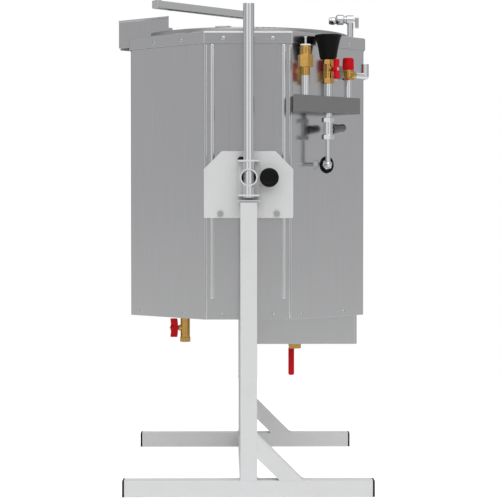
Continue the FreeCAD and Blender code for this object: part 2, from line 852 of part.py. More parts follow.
nodes["pipe_bracket"] = pipe_bracket()
header_z = bar_bottom + bar_height / 2
boss_top = header_z + boss_height
for name, s, top in (("vent_pipe", vent_s, vent_base), ("fill_pipe", fill_s, fill_base),
                     ("safety_pipe", safety_s, safety_base)):
    nodes[name] = on_face(pipe(pipe_radius, pipe_wall, V(0, 0, boss_top), V(0, 0, top)), s, pipe_offset)


def manifold_runs(header, riser, trunk, branch):
    """The manifold's round runs at given radii, about the tee's own centre."""
    level = header_z - tee_z
    ends = [V(0, s - fill_s, level) for s in (vent_s, safety_s)]
    over = V(0, header_radius, 0)
    runs = [rod(header, ends[0] - over, ends[1] + over)]
    runs += [rod(riser, V(0, s - fill_s, level), V(0, s - fill_s, boss_top - tee_z))
             for s in (vent_s, fill_s, safety_s)]
    runs.append(rod(trunk, V(0, 0, 0), V(0, 0, level)))
    runs.append(rod(branch, V(0, 0, inlet_z - tee_z), V(0, 0, 0)))
    return runs


def strainer():
    """Tapered branch of the tee with a round plug and a drain pip at its end."""
    rise = math.radians(strainer_rise)
    along = V(0, math.cos(rise), math.sin(rise))
    cone = Part.makeCone(tee_radius, tee_radius * 0.6, strainer_length, V(0, 0, 0), along)
    plug = rod(tee_radius * 0.68, along * strainer_length, along * (strainer_length + 11))
    pip = rod(3.0, along * (strainer_length + 10), along * (strainer_length + 14))
    return [cone, plug, pip]


def manifold():
    """Header with three sockets, a tee with its strainer and unions, and a tube into the jacket."""
    back = (V(-1, 1, 0)).normalize()
    foot = V(0, 0, inlet_z - tee_z)
    reach = pipe_offset * math.sqrt(2) + face_distance
    unions = [hexagon(union_across, tee_radius + 5, tee_radius + 5 + union_height),
              hexagon(union_across, -tee_radius - union_height, -tee_radius)]
    body_of_tee = [rod(tee_radius, V(0, 0, -tee_radius - 3), V(0, 0, tee_radius + 8))]
    tail = [rod(inlet_radius, foot, foot + back * reach), Part.makeSphere(inlet_radius + 1.5, foot)]
    lock_nut = hexagon(inlet_nut_across, 0, 12)
    lock_nut.rotate(V(0, 0, 0), V(1, 1, 0), -90)
    lock_nut.translate(foot + back * 28)
    outside = fuse(manifold_runs(header_radius, tee_radius, pipe_radius, inlet_radius) + strainer() +
                   unions + body_of_tee + tail + [lock_nut])
    bores = fuse(manifold_runs(header_radius - header_wall, pipe_radius - pipe_wall, pipe_radius - pipe_wall,
                               inlet_radius - inlet_wall) +
                 [rod(inlet_radius - inlet_wall, foot, foot + back * (reach + 1)),
                  Part.makeSphere(inlet_radius - inlet_wall, foot)])
    placed = on_face(outside.cut(bores), fill_s, pipe_offset, tee_z)
    return placed.cut(jacket_clear)


nodes["pipe_manifold"] = manifold()

inlet_s = fill_s + pipe_offset
inlet_line = rod(inlet_radius + slip_gap, V(60, -60, 0), V(-60, 60, 0))
neck_radius = grommet_radius - 8
grommet = turned([(0, -4), (neck_radius + 3, -4), (neck_radius + 3, -sheet - slip_gap),
                  (neck_radius, -sheet - slip_gap), (neck_radius, slip_gap), (grommet_radius, slip_gap),
                  (grommet_radius - 2, 6), (0, 6)])
grommet.rotate(V(0, 0, 0), V(0, 1, 0), 90)
nodes["inlet_grommet"] = on_face(grommet.cut(inlet_line), inlet_s, 0, inlet_z)
inlet_hole = on_face(rod(neck_radius + slip_gap, V(-10, 0, 0), V(10, 0, 0)), inlet_s, 0, inlet_z)
nodes["rear_panel"] = rear_panel.cut(inlet_hole)
lagging_bore = rod(inlet_radius + 1.0, V(80, -80, 0), V(-160, 160, 0))
lagging_bore = on_face(lagging_bore, inlet_s, 0, inlet_z)
lagging_bore = lagging_bore.common(box(0, 2 * case_half, -2 * case_half, 0, 0, cover_top))
nodes["lagging"] = lagging.cut(lagging_bore)


def vent_valve():
    """Brass air vent: a round foot, a hexagon body, a round head and a top disc."""
    return fuse([rod(pipe_radius, V(0, 0, 0), V(0, 0, 21)), hexagon(vent_across, 20, 51),
                 rod(vent_radius, V(0, 0, 50), V(0, 0, vent_top - 3)),
                 rod(vent_radius - 1.6, V(0, 0, vent_top - 3), V(0, 0, vent_top))])


body = vent_valve().cut(rod(vent_pin_radius + running_gap, V(0, 0, 40), V(0, 0, vent_top + 7)))
nodes["vent_valve"] = on_face(body, vent_s, pipe_offset, vent_base)
pin = fuse([rod(vent_pin_radius, V(0, 0, 52), V(0, 0, vent_pin_top)),
            rod(vent_pin_radius + 1.6, V(0, 0, vent_pin_top - 3), V(0, 0, vent_pin_top))])
nodes["vent_pin"] = on_face(pin, vent_s, pipe_offset, vent_base)


def ball_valve(height, across, handle_z, stem_length):
    """Brass ball valve: two hexagon ends, a round waist and a side boss with a stem hole."""
    waist = rod(across * 0.46, V(0, 0, 1), V(0, 0, height - 1))
    ends = [hexagon(across, 0, 13), hexagon(across, height - 13, height)]
    boss = rod(8.0, V(0, 0, handle_z), V(across / 2 + 3, 0, handle_z))
    body = fuse([waist] + ends + [boss])
    return body.cut(rod(stem_radius + running_gap, V(across / 4, 0, handle_z), V(stem_length, 0, handle_z)))


def wing_handle(across, z, hub):
    """Butterfly handle on a short stem, its wings upright."""
    start = across / 4 + 1
    stem = rod(stem_radius, V(start, 0, z), V(across / 2 + 8, 0, z))
    x0 = across / 2 + 3.5
    core = rod(hub, V(x0, 0, z), V(x0 + 16, 0, z))
    half = wing_height / 2
    wing = box(x0 + 3, x0 + 14, -wing_thick / 2, wing_thick / 2, z - half, z + half)
    wing = wing.makeFillet(wing_thick / 2 - 0.6, edges_along(wing, V(1, 0, 0)))
    return fuse([stem, core, wing])


nodes["fill_valve"] = on_face(ball_valve(fill_height, fill_across, fill_handle_z, 40), fill_s, pipe_offset,
                              fill_base)
nodes["fill_handle"] = on_face(wing_handle(fill_across, fill_handle_z, hub_radius), fill_s, pipe_offset,
                               fill_base)


def funnel():
    """Moulded cup that swells from a small foot and flares at the lip."""
    middle = (funnel_bottom_radius + funnel_top_radius) / 2
    shoulder = 8.0
    flare = funnel_height - 8.0
    w = funnel_wall
    return turned([(stem_radius, 0), (funnel_bottom_radius, 0), (middle - 3.5, shoulder),
                   (middle + 2.5, flare - 10),
                   (funnel_top_radius - 1, flare + 3), (funnel_top_radius, funnel_height),
                   (funnel_top_radius - w, funnel_height), (funnel_top_radius - w - 1, flare + 3),
                   (middle + 2.5 - w, flare - 10), (middle - 3.5 - w, shoulder),
                   (funnel_bottom_radius - w, 2 * w),
                   (stem_radius, 2 * w)])


nodes["funnel"] = on_face(funnel(), fill_s, pipe_offset, fill_base + fill_height)

safety_body = fuse([hexagon(safety_across, 0, 6), rod(safety_radius - 3.5, V(0, 0, 5), V(0, 0, 10)),
                    rod(safety_radius, V(0, 0, 9), V(0, 0, 20)),
                    rod(safety_radius + 1.5, V(0, 0, 19), V(0, 0, cap_low - seat_gap)),
                    rod(arm_radius + 0.5, V(0, 0, safety_arm_z), V(0, arm_start, safety_arm_z))])
nodes["safety_valve"] = on_face(safety_body, safety_s, pipe_offset, safety_base)
cap_shoulder = cap_low + 24
cap_top = cap_low + 31
cap = turned([(0, cap_low), (cap_radius, cap_low), (cap_radius, cap_shoulder), (cap_radius - 4.5, cap_top),
              (0, cap_top)])
for k in range(12):
    a = math.radians(30 * k)
    rib = V((cap_radius - 0.3) * math.cos(a), (cap_radius - 0.3) * math.sin(a), cap_low)
    cap = cap.fuse(rod(1.2, rib, rib + V(0, 0, cap_shoulder - cap_low - 2)))
nodes["safety_cap"] = on_face(cap.removeSplitter(), safety_s, pipe_offset, safety_base)


def discharge_elbow():
    """Bright elbow beside the safety valve that turns up into a wider tube."""
    start = V(0, arm_start, safety_arm_z)
    corner = V(0, elbow_reach, safety_arm_z)
    top = V(0, elbow_reach, elbow_top)
    body = fuse([rod(arm_radius, start, corner), Part.makeSphere(elbow_radius, corner),
                 rod(elbow_radius, corner, top)])
    return body.cut(rod(elbow_radius - elbow_wall, top - UP * elbow_bore_depth, top + UP))


nodes["discharge_elbow"] = on_face(discharge_elbow(), safety_s, pipe_offset, safety_base)


# Valves below the casing

drain_bottom = case_bottom - drain_length
drain = ball_valve(drain_length, drain_across, drain_handle_z, 40)
nipple_radius = nipple_bore - slip_gap
drain_top = dome_z(abs(drain_x), jacket_floor, vessel_crown) + nipple_entry
drain = drain.fuse(rod(nipple_radius, V(0, 0, drain_length - 1), V(0, 0, drain_top - drain_bottom)))
drain = drain.cut(rod(drain_thread, V(0, 0, -1), V(0, 0, thread_depth)))
drain_handle = wing_handle(drain_across, drain_handle_z, hub_radius)
for name, piece in (("drain_valve", drain.removeSplitter()), ("drain_handle", drain_handle)):
    piece.rotate(V(0, 0, 0), UP, 180)
    piece.translate(V(drain_x, 0, drain_bottom))
    nodes[name] = piece

outlet_bottom = box_bottom - outlet_drop
outlet_top = dome_z(outlet_x, jacket_floor, vessel_crown) + nipple_entry
outlet_pivot = V(outlet_x - outlet_stem_side, 0, outlet_bottom + outlet_stem_height)
lever_near = outlet_boss_end + 0.5
lever_far = lever_near + outlet_lever_thick


def outlet_valve():
    """Short hexagon valve body under the box, with a nipple up to the jacket and a boss for its stem."""
    body = fuse([hexagon(outlet_across, 0, outlet_drop - seat_gap),
                 rod(nipple_radius, V(0, 0, outlet_drop - 1), V(0, 0, outlet_top - outlet_bottom))])
    body.translate(V(outlet_x, 0, outlet_bottom))
    boss = rod(stem_radius + 3, outlet_pivot, outlet_pivot + V(0, outlet_boss_end, 0))
    body = body.fuse(boss).removeSplitter()
    body = body.cut(rod(stem_radius + running_gap, outlet_pivot + V(0, 10, 0), outlet_pivot + V(0, 30, 0)))
    thread = rod(outlet_thread, V(outlet_x, 0, outlet_bottom - 1),
                 V(outlet_x, 0, outlet_bottom + thread_depth))
    return body.cut(thread)


def outlet_lever():
    """Flat lever that hangs from the valve's stem, with a nut on the stem's end."""
    half = outlet_lever_width / 2
    grip = box(-half, half, lever_near, lever_far, -outlet_lever_length, 0)
    grip = grip.makeFillet(3.0, [e for e in edges_along(grip, V(0, 1, 0)) if e.CenterOfMass.z < -1])
    lever = fuse([grip, rod(half, V(0, lever_near, 0), V(0, lever_far, 0)),
                  rod(stem_radius, V(0, 11, 0), V(0, lever_far + 4.5, 0)),
                  rod(stem_radius + 2, V(0, lever_far - 0.5, 0), V(0, lever_far + 4.5, 0))])
    lever.translate(outlet_pivot)
    return lever


nodes["outlet_valve"] = outlet_valve()
nodes["outlet_lever"] = outlet_lever()


# Water tap on the cover

tap_axis_z = tap_top - tap_knuckle_radius
tap_valve_end = tap_radius - 0.35


def tap_body():
    """Riser with a round valve body across its head and a rounded outlet knuckle."""
    axis = V(tap_x, tap_y, tap_axis_z)
    riser = pipe(tap_radius, 2.0, V(tap_x, tap_y, cover_top - 20), axis)
    r = tap_knuckle_radius
    profile = [(0, 0), (r - 4, 0), (r, 4), (r, 20), (r - 4, 23), (r - 4, 27), (r - 1.5, 29),
               (r - 1.5, tap_reach + tap_valve_end), (0, tap_reach + tap_valve_end)]
    head = turned(profile)
    head.rotate(V(0, 0, 0), V(0, 1, 0), 90)
    head.translate(axis - V(tap_reach, 0, 0))
    base = rod(tap_radius + 4, V(tap_x, tap_y, cover_top + 0.01), V(tap_x, tap_y, cover_top + 5))
    base = base.cut(rod(tap_radius, V(tap_x, tap_y, cover_top - 1), V(tap_x, tap_y, cover_top + 6)))
    body = fuse([riser, head, base])
    return body.cut(rod(stem_radius + running_gap, axis, axis + V(20, 0, 0)))


nodes["tap_body"] = tap_body()
nozzle_start = V(tap_x - tap_reach, tap_y, tap_axis_z - nozzle_drop)
nozzle = rod(nozzle_radius, nozzle_start, nozzle_start - V(nozzle_reach, 0, 0))
nodes["tap_nozzle"] = nozzle.cut(rod(nozzle_bore, nozzle_start - V(4, 0, 0),
                                     nozzle_start - V(nozzle_reach + 1, 0, 0)))
stem_start = V(tap_x + 1, tap_y, tap_axis_z)
plate_x = tap_x + tap_valve_end + tap_plate_gap
half = tap_plate_width / 2
lever_plate = box(plate_x, plate_x + tap_plate_thick, tap_y - half, tap_y + half,
                  tap_axis_z - tap_plate_below, tap_axis_z + tap_plate_above)
lever_plate = lever_plate.makeFillet(3.0, edges_along(lever_plate, V(1, 0, 0)))
nodes["tap_lever"] = fuse([rod(stem_radius, stem_start, V(plate_x + 2, tap_y, tap_axis_z)), lever_plate])


# Spout

def spout_wall(side):
    """Upright side wall from the cover to the lip."""
    root = V(-spout_root_x, side * spout_root_half, 0)
    tip = V(-spout_tip, side * spout_tip_half, 0)
    along = tip - root
    normal = V(along.y, -along.x, 0)
    normal.normalize()
    if normal.y * side > 0:
        normal = normal.negative()
    shift = normal * spout_sheet
    points = [root, tip, tip + shift, root + shift]
    return prism(points, V(0, 0, spout_nose_bottom), V(0, 0, spout_top - spout_nose_bottom))


def spout_hem_rod(side):
    """Rolled hem along a wall's top edge, on its outside."""
    root = V(-spout_root_x, side * spout_root_half, spout_top - spout_hem)
    tip = V(-spout_tip, side * spout_tip_half, spout_top - spout_hem)
    outward = V(-(tip - root).y, (tip - root).x, 0).normalize() * (-side)
    shift = outward * (spout_hem / 2)
    inset = (tip - root).normalize() * spout_hem
    return rod(spout_hem, root + shift, tip + shift - inset)


def floor_section(x, half_width, edge_z, centre_z):
    """Shallow V of sheet across the spout."""
    t = spout_sheet
    points = [V(x, -half_width, edge_z), V(x, 0, centre_z), V(x, half_width, edge_z),
              V(x, half_width, edge_z - t), V(x, 0, centre_z - t), V(x, -half_width, edge_z - t)]
    return Part.makePolygon(points + [points[0]])


def spout():
    """Pouring lip: two walls and a V-shaped floor that falls towards the tip."""
    slope = (spout_root_half - spout_tip_half) / (spout_tip - spout_root_x)
    floor_start = rim_radius - 8.0
    half_start = spout_tip_half + slope * (spout_tip - floor_start)
    high = rim_top + 4.0
    floor = Part.makeLoft([floor_section(-floor_start, half_start, high, high),
                           floor_section(-spout_tip, spout_tip_half, high - 4, cover_top - 6)], True, True)
    body = fuse([spout_wall(-1), spout_wall(1), floor] + [spout_hem_rod(side) for side in (-1, 1)])
    body = body.cut(octagon_block(cover_overhang + seat_gap, 0, cover_top + seat_gap))
    ring = rod(rim_radius + seat_gap, V(0, 0, 0), V(0, 0, rim_top + seat_gap))
    ring = ring.cut(rod(vessel_radius - 40, V(0, 0, -1), V(0, 0, rim_top + 2)))
    return body.cut(ring)


nodes["spout"] = spout()


# Stirrer: bridge across the rim, shaft, crank arm and paddle

def turned_to(shape, angle):
    """Turn a piece built along +X to an angle about Z."""
    shape.rotate(V(0, 0, 0), UP, angle)
    return shape


bridge_top = rim_top + seat_gap + bridge_sheet


def stirrer_bridge():
    """Inverted channel lying on the rim, with a guide boss for the shaft."""
    half = bridge_width / 2
    web = box(-rim_radius + 2, rim_radius - 2, -half, half, rim_top + seat_gap, bridge_top)
    inside = vessel_radius - 6
    cheeks = [box(-inside, inside, side * half, side * (half - bridge_sheet), bridge_top - bridge_flange,
                  bridge_top - 1) for side in (-1, 1)]
    boss = rod(shaft_radius + bridge_boss, V(0, 0, bridge_top - bridge_flange), V(0, 0, bridge_top))
    body = fuse([web] + cheeks + [boss])
    body = body.cut(rod(shaft_radius + running_gap, V(0, 0, bridge_top - 2 * bridge_flange),
                         V(0, 0, bridge_top + 1)))
    return turned_to(body, bridge_angle)


nodes["stirrer_bridge"] = stirrer_bridge()
collar = rod(collar_radius, V(0, 0, bridge_top + seat_gap), V(0, 0, bridge_top + collar_height))
nodes["stirrer_shaft"] = fuse([rod(shaft_radius, V(0, 0, shaft_bottom), V(0, 0, shaft_top)), collar])
arm = box(-arm_side / 2, arm_length, -arm_side / 2, arm_side / 2, shaft_top, shaft_top + arm_side)
arm = arm.makeFillet(2.0, edges_along(arm, V(1, 0, 0)))
nodes["stirrer_arm"] = turned_to(arm, arm_angle)
bolt = hexagon(bolt_across, shaft_top + arm_side, shaft_top + arm_side + 6)
bolt.translate(V(arm_length - 12, 0, 0))
nodes["arm_bolt"] = turned_to(bolt, arm_angle)


def stirrer_paddle():
    """Anchor of flat bar: hub, cross bar and two uprights near the vessel's wall."""
    hub = rod(shaft_radius + 8, V(0, 0, paddle_z - 20), V(0, 0, paddle_z + 20))
    cross = box(-paddle_radius, paddle_radius, -paddle_thick / 2, paddle_thick / 2,
                paddle_z - paddle_bar / 2, paddle_z + paddle_bar / 2)
    sides = [box(side * paddle_radius, side * (paddle_radius - paddle_bar), -paddle_thick / 2,
                 paddle_thick / 2, paddle_z - paddle_bar / 2, paddle_z + paddle_height)
             for side in (-1, 1)]
    body = fuse([hub, cross] + sides)
    body = body.cut(rod(shaft_radius + slip_gap / 2, V(0, 0, paddle_z - 30), V(0, 0, paddle_z + 30)))
    return turned_to(body, bridge_angle)


nodes["stirrer_paddle"] = stirrer_paddle()


# Screws of the cover and panels

def dome_screw(point, outward):
    """Low round head lying on a sheet."""
    radius = (screw_radius ** 2 + screw_height ** 2) / (2 * screw_height)
    ball = Part.makeSphere(radius, point - outward * (radius - screw_height))
    return ball.common(rod(screw_radius, point, point + outward * (screw_height + 1)))


def panel_screws():
    """Two screws at the top and two at the bottom of every face."""
    heads = []
    top_z = cover_top - top_screw_drop
    low_z = case_bottom + low_screw_rise
    rows = ((case_half, flat_top_screws, flat_low_screws),
            (face_distance, diagonal_top_screws, diagonal_low_screws))
    for k in range(8):
        distance, tops, lows = rows[k % 2]
        tops = {1: pipe_face_top_screws, 6: front_top_screws}.get(k, tops)
        angle = 45 * k - 90
        out = V(math.cos(math.radians(angle)), math.sin(math.radians(angle)), 0)
        along = V(-out.y, out.x, 0)
        for s in tops:
            heads.append(dome_screw(out * (distance + cover_overhang) + along * s + V(0, 0, top_z), out))
        for s in lows:
            heads.append(dome_screw(out * distance + along * s + V(0, 0, low_z), out))
    return Part.makeCompound(heads)


nodes["panel_screws"] = panel_screws()

os.makedirs("parts", exist_ok=True)
for name, shape in nodes.items():
    shape.exportStep("parts/" + name + ".step")
print(len(nodes), "nodes")
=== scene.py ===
import math

import bmesh
import bpy
from mathutils import Matrix, Vector


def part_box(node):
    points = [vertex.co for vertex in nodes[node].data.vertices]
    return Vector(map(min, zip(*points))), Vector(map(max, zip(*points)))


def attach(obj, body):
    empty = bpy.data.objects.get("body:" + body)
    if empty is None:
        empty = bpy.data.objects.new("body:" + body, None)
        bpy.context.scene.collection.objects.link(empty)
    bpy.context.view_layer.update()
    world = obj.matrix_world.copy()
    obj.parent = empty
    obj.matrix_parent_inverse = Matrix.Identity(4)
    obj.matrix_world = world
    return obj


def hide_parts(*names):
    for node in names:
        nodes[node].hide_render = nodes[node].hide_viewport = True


# Tilting cooking kettle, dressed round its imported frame, in metres.
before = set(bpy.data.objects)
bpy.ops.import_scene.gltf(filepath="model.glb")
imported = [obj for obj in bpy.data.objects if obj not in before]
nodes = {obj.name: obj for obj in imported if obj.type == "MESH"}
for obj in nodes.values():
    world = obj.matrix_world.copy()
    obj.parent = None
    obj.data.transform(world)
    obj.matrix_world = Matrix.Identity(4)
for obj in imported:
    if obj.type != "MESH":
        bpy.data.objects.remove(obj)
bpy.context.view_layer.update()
scene = bpy.context.scene
scene.view_settings.view_transform = "Standard"

# Camera of the photograph, fitted to the casing's outline and the stand
CAMERA_AT = (-0.0469, -4.607, 0.698)
CAMERA_LENS = 125.44
CAMERA_DOWN = math.radians(1.4725)
CAMERA_RIGHT = math.radians(0.6875)

# Studio tones: share of a half turn away from the camera's side, and how bright that part is
SCREENS = ((0.0, 0.52), (0.04, 0.57), (0.10, 0.95), (0.24, 0.92), (0.34, 0.32), (0.44, 0.56),
           (0.56, 0.60), (0.66, 0.28), (0.86, 0.55), (1.0, 0.60))
CEILING = 0.70
CEILING_BAND = (0.35, 0.85)
FLOOR_GLOW = 0.72
FLOOR_BAND = (0.02, -0.09)
FLOOR_RADIUS = 2.4
FLOOR_DROP = 0.0005
FLOOR_SEEN = 0.55
FLOOR_UNSEEN = 0.06
SUN_STRENGTH = 1.2
SUN_WIDTH = math.radians(72)
SUN_TURN = (math.radians(38), math.radians(8), 0)


def make_camera():
    """Long lens level with the bearings, square to the lever side."""
    data = bpy.data.cameras.new("studio_camera")
    data.lens = CAMERA_LENS
    data.sensor_width = 36.0
    data.clip_end = 60.0
    camera = bpy.data.objects.new("studio_camera", data)
    scene.collection.objects.link(camera)
    camera.location = CAMERA_AT
    camera.rotation_euler = (math.pi / 2 - CAMERA_DOWN, 0, -CAMERA_RIGHT)
    scene.camera = camera


def add(tree, kind, settings=None, **inputs):
    """One shader node: settings are its own properties, inputs its socket values."""
    node = tree.nodes.new(kind)
    for key, value in (settings or {}).items():
        setattr(node, key, value)
    for key, value in inputs.items():
        node.inputs[key.replace("_", " ")].default_value = value
    return node


def surround(tree):
    """Colour of the studio by direction: a dark strip ahead, bright screens beside it, grey sides."""
    link = tree.links.new
    way = add(tree, "ShaderNodeTexCoord")
    split = add(tree, "ShaderNodeSeparateXYZ")
    link(way.outputs["Generated"], split.inputs[0])
    side = add(tree, "ShaderNodeMath", {"operation": "ABSOLUTE"})
    link(split.outputs[0], side.inputs[0])
    ahead = add(tree, "ShaderNodeMath", {"operation": "MULTIPLY"})
    ahead.inputs[1].default_value = -1.0
    link(split.outputs[1], ahead.inputs[0])
    angle = add(tree, "ShaderNodeMath", {"operation": "ARCTAN2"})
    link(side.outputs[0], angle.inputs[0])
    link(ahead.outputs[0], angle.inputs[1])
    turn = add(tree, "ShaderNodeMath", {"operation": "DIVIDE"})
    turn.inputs[1].default_value = math.pi
    link(angle.outputs[0], turn.inputs[0])
    ring = add(tree, "ShaderNodeValToRGB")
    ring.color_ramp.interpolation = "EASE"
    for place, tone in SCREENS:
        stop = ring.color_ramp.elements.new(place)
        stop.color = (tone, tone, tone * 1.01, 1)
    ring.color_ramp.elements.remove(ring.color_ramp.elements[0])
    link(turn.outputs[0], ring.inputs[0])
    high = add(tree, "ShaderNodeMapRange", {"interpolation_type": "SMOOTHSTEP"})
    high.inputs["From Min"].default_value, high.inputs["From Max"].default_value = CEILING_BAND
    link(split.outputs[2], high.inputs["Value"])
    mix = add(tree, "ShaderNodeMix", {"data_type": "RGBA"})
    mix.inputs[7].default_value = (CEILING, CEILING, CEILING, 1)
    link(high.outputs[0], mix.inputs["Factor"])
    low = add(tree, "ShaderNodeMapRange", {"interpolation_type": "SMOOTHSTEP"})
    low.inputs["From Min"].default_value, low.inputs["From Max"].default_value = FLOOR_BAND
    link(split.outputs[2], low.inputs["Value"])
    under = add(tree, "ShaderNodeMix", {"data_type": "RGBA"})
    under.inputs[7].default_value = (FLOOR_GLOW, FLOOR_GLOW, FLOOR_GLOW, 1)
    link(low.outputs[0], under.inputs["Factor"])
    link(ring.outputs[0], under.inputs[6])
    link(under.outputs[2], mix.inputs[6])
    return mix.outputs[2]


def make_studio():
    """White backdrop, a ring of screens that lights the metal, a soft sun and a pale floor."""
    world = bpy.data.worlds.new("studio")
    scene.world = world
    world.use_nodes = True
    tree = world.node_tree
    tree.nodes.clear()
    out = add(tree, "ShaderNodeOutputWorld")
    rays = add(tree, "ShaderNodeLightPath")
    seen = add(tree, "ShaderNodeBackground", Color=(1, 1, 1, 1), Strength=1.0)
    around = add(tree, "ShaderNodeBackground", Strength=1.0)
    tree.links.new(surround(tree), around.inputs["Color"])
    mix = add(tree, "ShaderNodeMixShader")
    tree.links.new(rays.outputs["Is Camera Ray"], mix.inputs[0])
    tree.links.new(around.outputs[0], mix.inputs[1])
    tree.links.new(seen.outputs[0], mix.inputs[2])
    tree.links.new(mix.outputs[0], out.inputs[0])
    data = bpy.data.lights.new("soft_sun", "SUN")
    data.energy = SUN_STRENGTH
    data.angle = SUN_WIDTH
    sun = bpy.data.objects.new("soft_sun", data)
    scene.collection.objects.link(sun)
    sun.rotation_euler = SUN_TURN
    mesh = bpy.data.meshes.new("studio_floor")
    bm = bmesh.new()
    bmesh.ops.create_circle(bm, cap_ends=True, segments=96, radius=FLOOR_RADIUS)
    bm.to_mesh(mesh)
    bm.free()
    floor = bpy.data.objects.new("studio_floor", mesh)
    scene.collection.objects.link(floor)
    floor.location.z = -FLOOR_DROP
    paper = bpy.data.materials.new("floor_paper")
    paper.use_nodes = True
    shader = paper.node_tree.nodes["Principled BSDF"]
    shader.inputs["Base Color"].default_value = (0.94, 0.94, 0.94, 1)
    shader.inputs["Roughness"].default_value = 0.9
    shader.inputs["Emission Color"].default_value = (1, 1, 1, 1)
    rays = add(paper.node_tree, "ShaderNodeLightPath")
    glow = add(paper.node_tree, "ShaderNodeMapRange")
    glow.inputs["To Min"].default_value = FLOOR_UNSEEN
    glow.inputs["To Max"].default_value = FLOOR_SEEN
    paper.node_tree.links.new(rays.outputs["Is Camera Ray"], glow.inputs["Value"])
    paper.node_tree.links.new(glow.outputs[0], shader.inputs["Emission Strength"])
    mesh.materials.append(paper)


# Shader groups shared by the finishes

def new_group(name, inputs, outputs):
    """Empty shader group with named sockets and its two end nodes."""
    tree = bpy.data.node_groups.new(name, "ShaderNodeTree")
    for label, kind, value in inputs:
        socket = tree.interface.new_socket(name=label, in_out="INPUT", socket_type="NodeSocket" + kind)
        if value is not None:
            socket.default_value = value
    for label, kind in outputs:
        tree.interface.new_socket(name=label, in_out="OUTPUT", socket_type="NodeSocket" + kind)
    return tree, tree.nodes.new("NodeGroupInput"), tree.nodes.new("NodeGroupOutput")


def grain_group():
    """Ground lines in sheet: long fine noise along one axis, with a slow drift in tone."""
    tree, start, end = new_group(
        "ground_lines",
        [("Vector", "Vector", None), ("Across", "Float", 900.0), ("Along", "Float", 6.0)],
        [("Lines", "Float"), ("Drift", "Float")])
    link = tree.links.new
    stretch = add(tree, "ShaderNodeCombineXYZ")
    link(start.outputs["Across"], stretch.inputs[0])
    link(start.outputs["Across"], stretch.inputs[1])
    link(start.outputs["Along"], stretch.inputs[2])
    scaled = add(tree, "ShaderNodeVectorMath", {"operation": "MULTIPLY"})
    link(start.outputs["Vector"], scaled.inputs[0])
    link(stretch.outputs[0], scaled.inputs[1])
    lines = add(tree, "ShaderNodeTexNoise", Scale=1.0, Detail=4.0, Roughness=0.65)
    link(scaled.outputs[0], lines.inputs["Vector"])
    drift = add(tree, "ShaderNodeTexNoise", Scale=3.2, Detail=2.0, Roughness=0.5)
    link(start.outputs["Vector"], drift.inputs["Vector"])
    link(lines.outputs["Fac"], end.inputs["Lines"])
    link(drift.outputs["Fac"], end.inputs["Drift"])
    return tree


def marks_group():
    """Handling marks: cloudy smears broken up by small specks."""
    tree, start, end = new_group(
        "handling_marks",
        [("Vector", "Vector", None), ("Size", "Float", 14.0), ("Cover", "Float", 0.55)],
        [("Marks", "Float"), ("Specks", "Float")])
    link = tree.links.new
    cloud = add(tree, "ShaderNodeTexNoise", Detail=5.0, Roughness=0.6, Distortion=0.8)
    link(start.outputs["Vector"], cloud.inputs["Vector"])
    link(start.outputs["Size"], cloud.inputs["Scale"])
    above = add(tree, "ShaderNodeMapRange")
    above.inputs["From Max"].default_value = 0.9
    link(cloud.outputs["Fac"], above.inputs["Value"])
    link(start.outputs["Cover"], above.inputs["From Min"])
    speck = add(tree, "ShaderNodeTexVoronoi", {"feature": "F1"}, Scale=420.0)
    link(start.outputs["Vector"], speck.inputs["Vector"])
    dot = add(tree, "ShaderNodeMapRange")
    dot.inputs["From Min"].default_value = 0.12
    dot.inputs["From Max"].default_value = 0.05
    link(speck.outputs["Distance"], dot.inputs["Value"])
    link(above.outputs[0], end.inputs["Marks"])
    link(dot.outputs[0], end.inputs["Specks"])
    return tree


def edge_group():
    """Worn or polished edges: where a rounded normal leaves the face's own."""
    tree, start, end = new_group(
        "worn_edges",
        [("Width", "Float", 0.002), ("Breakup", "Float", 60.0), ("Vector", "Vector", None)],
        [("Edges", "Float"), ("Rounded", "Vector")])
    link = tree.links.new
    rounded = add(tree, "ShaderNodeBevel", {"samples": 4})
    link(start.outputs["Width"], rounded.inputs["Radius"])
    flat = add(tree, "ShaderNodeNewGeometry")
    dot = add(tree, "ShaderNodeVectorMath", {"operation": "DOT_PRODUCT"})
    link(rounded.outputs[0], dot.inputs[0])
    link(flat.outputs["Normal"], dot.inputs[1])
    away = add(tree, "ShaderNodeMapRange")
    away.inputs["From Min"].default_value = 0.985
    away.inputs["From Max"].default_value = 0.80
    link(dot.outputs["Value"], away.inputs["Value"])
    noise = add(tree, "ShaderNodeTexNoise", Detail=3.0)
    link(start.outputs["Vector"], noise.inputs["Vector"])
    link(start.outputs["Breakup"], noise.inputs["Scale"])
    broken = add(tree, "ShaderNodeMath", {"operation": "MULTIPLY", "use_clamp": True})
    link(away.outputs[0], broken.inputs[0])
    link(noise.outputs["Fac"], broken.inputs[1])
    link(broken.outputs[0], end.inputs["Edges"])
    link(rounded.outputs[0], end.inputs["Rounded"])
    return tree


def skin_group():
    """Fine skin of a moulding or a paint coat, as a height."""
    tree, start, end = new_group(
        "surface_skin",
        [("Vector", "Vector", None), ("Grain", "Float", 900.0)],
        [("Height", "Float")])
    link = tree.links.new
    fine = add(tree, "ShaderNodeTexNoise", Detail=2.0, Roughness=0.5)
    link(start.outputs["Vector"], fine.inputs["Vector"])
    link(start.outputs["Grain"], fine.inputs["Scale"])
    link(fine.outputs["Fac"], end.inputs["Height"])
    return tree


GRAIN = grain_group()
MARKS = marks_group()
EDGES = edge_group()
SKIN = skin_group()


def shade(tone, share, lift=0.0):
    """A colour made darker or lighter."""
    return tuple(share * c + lift for c in tone)


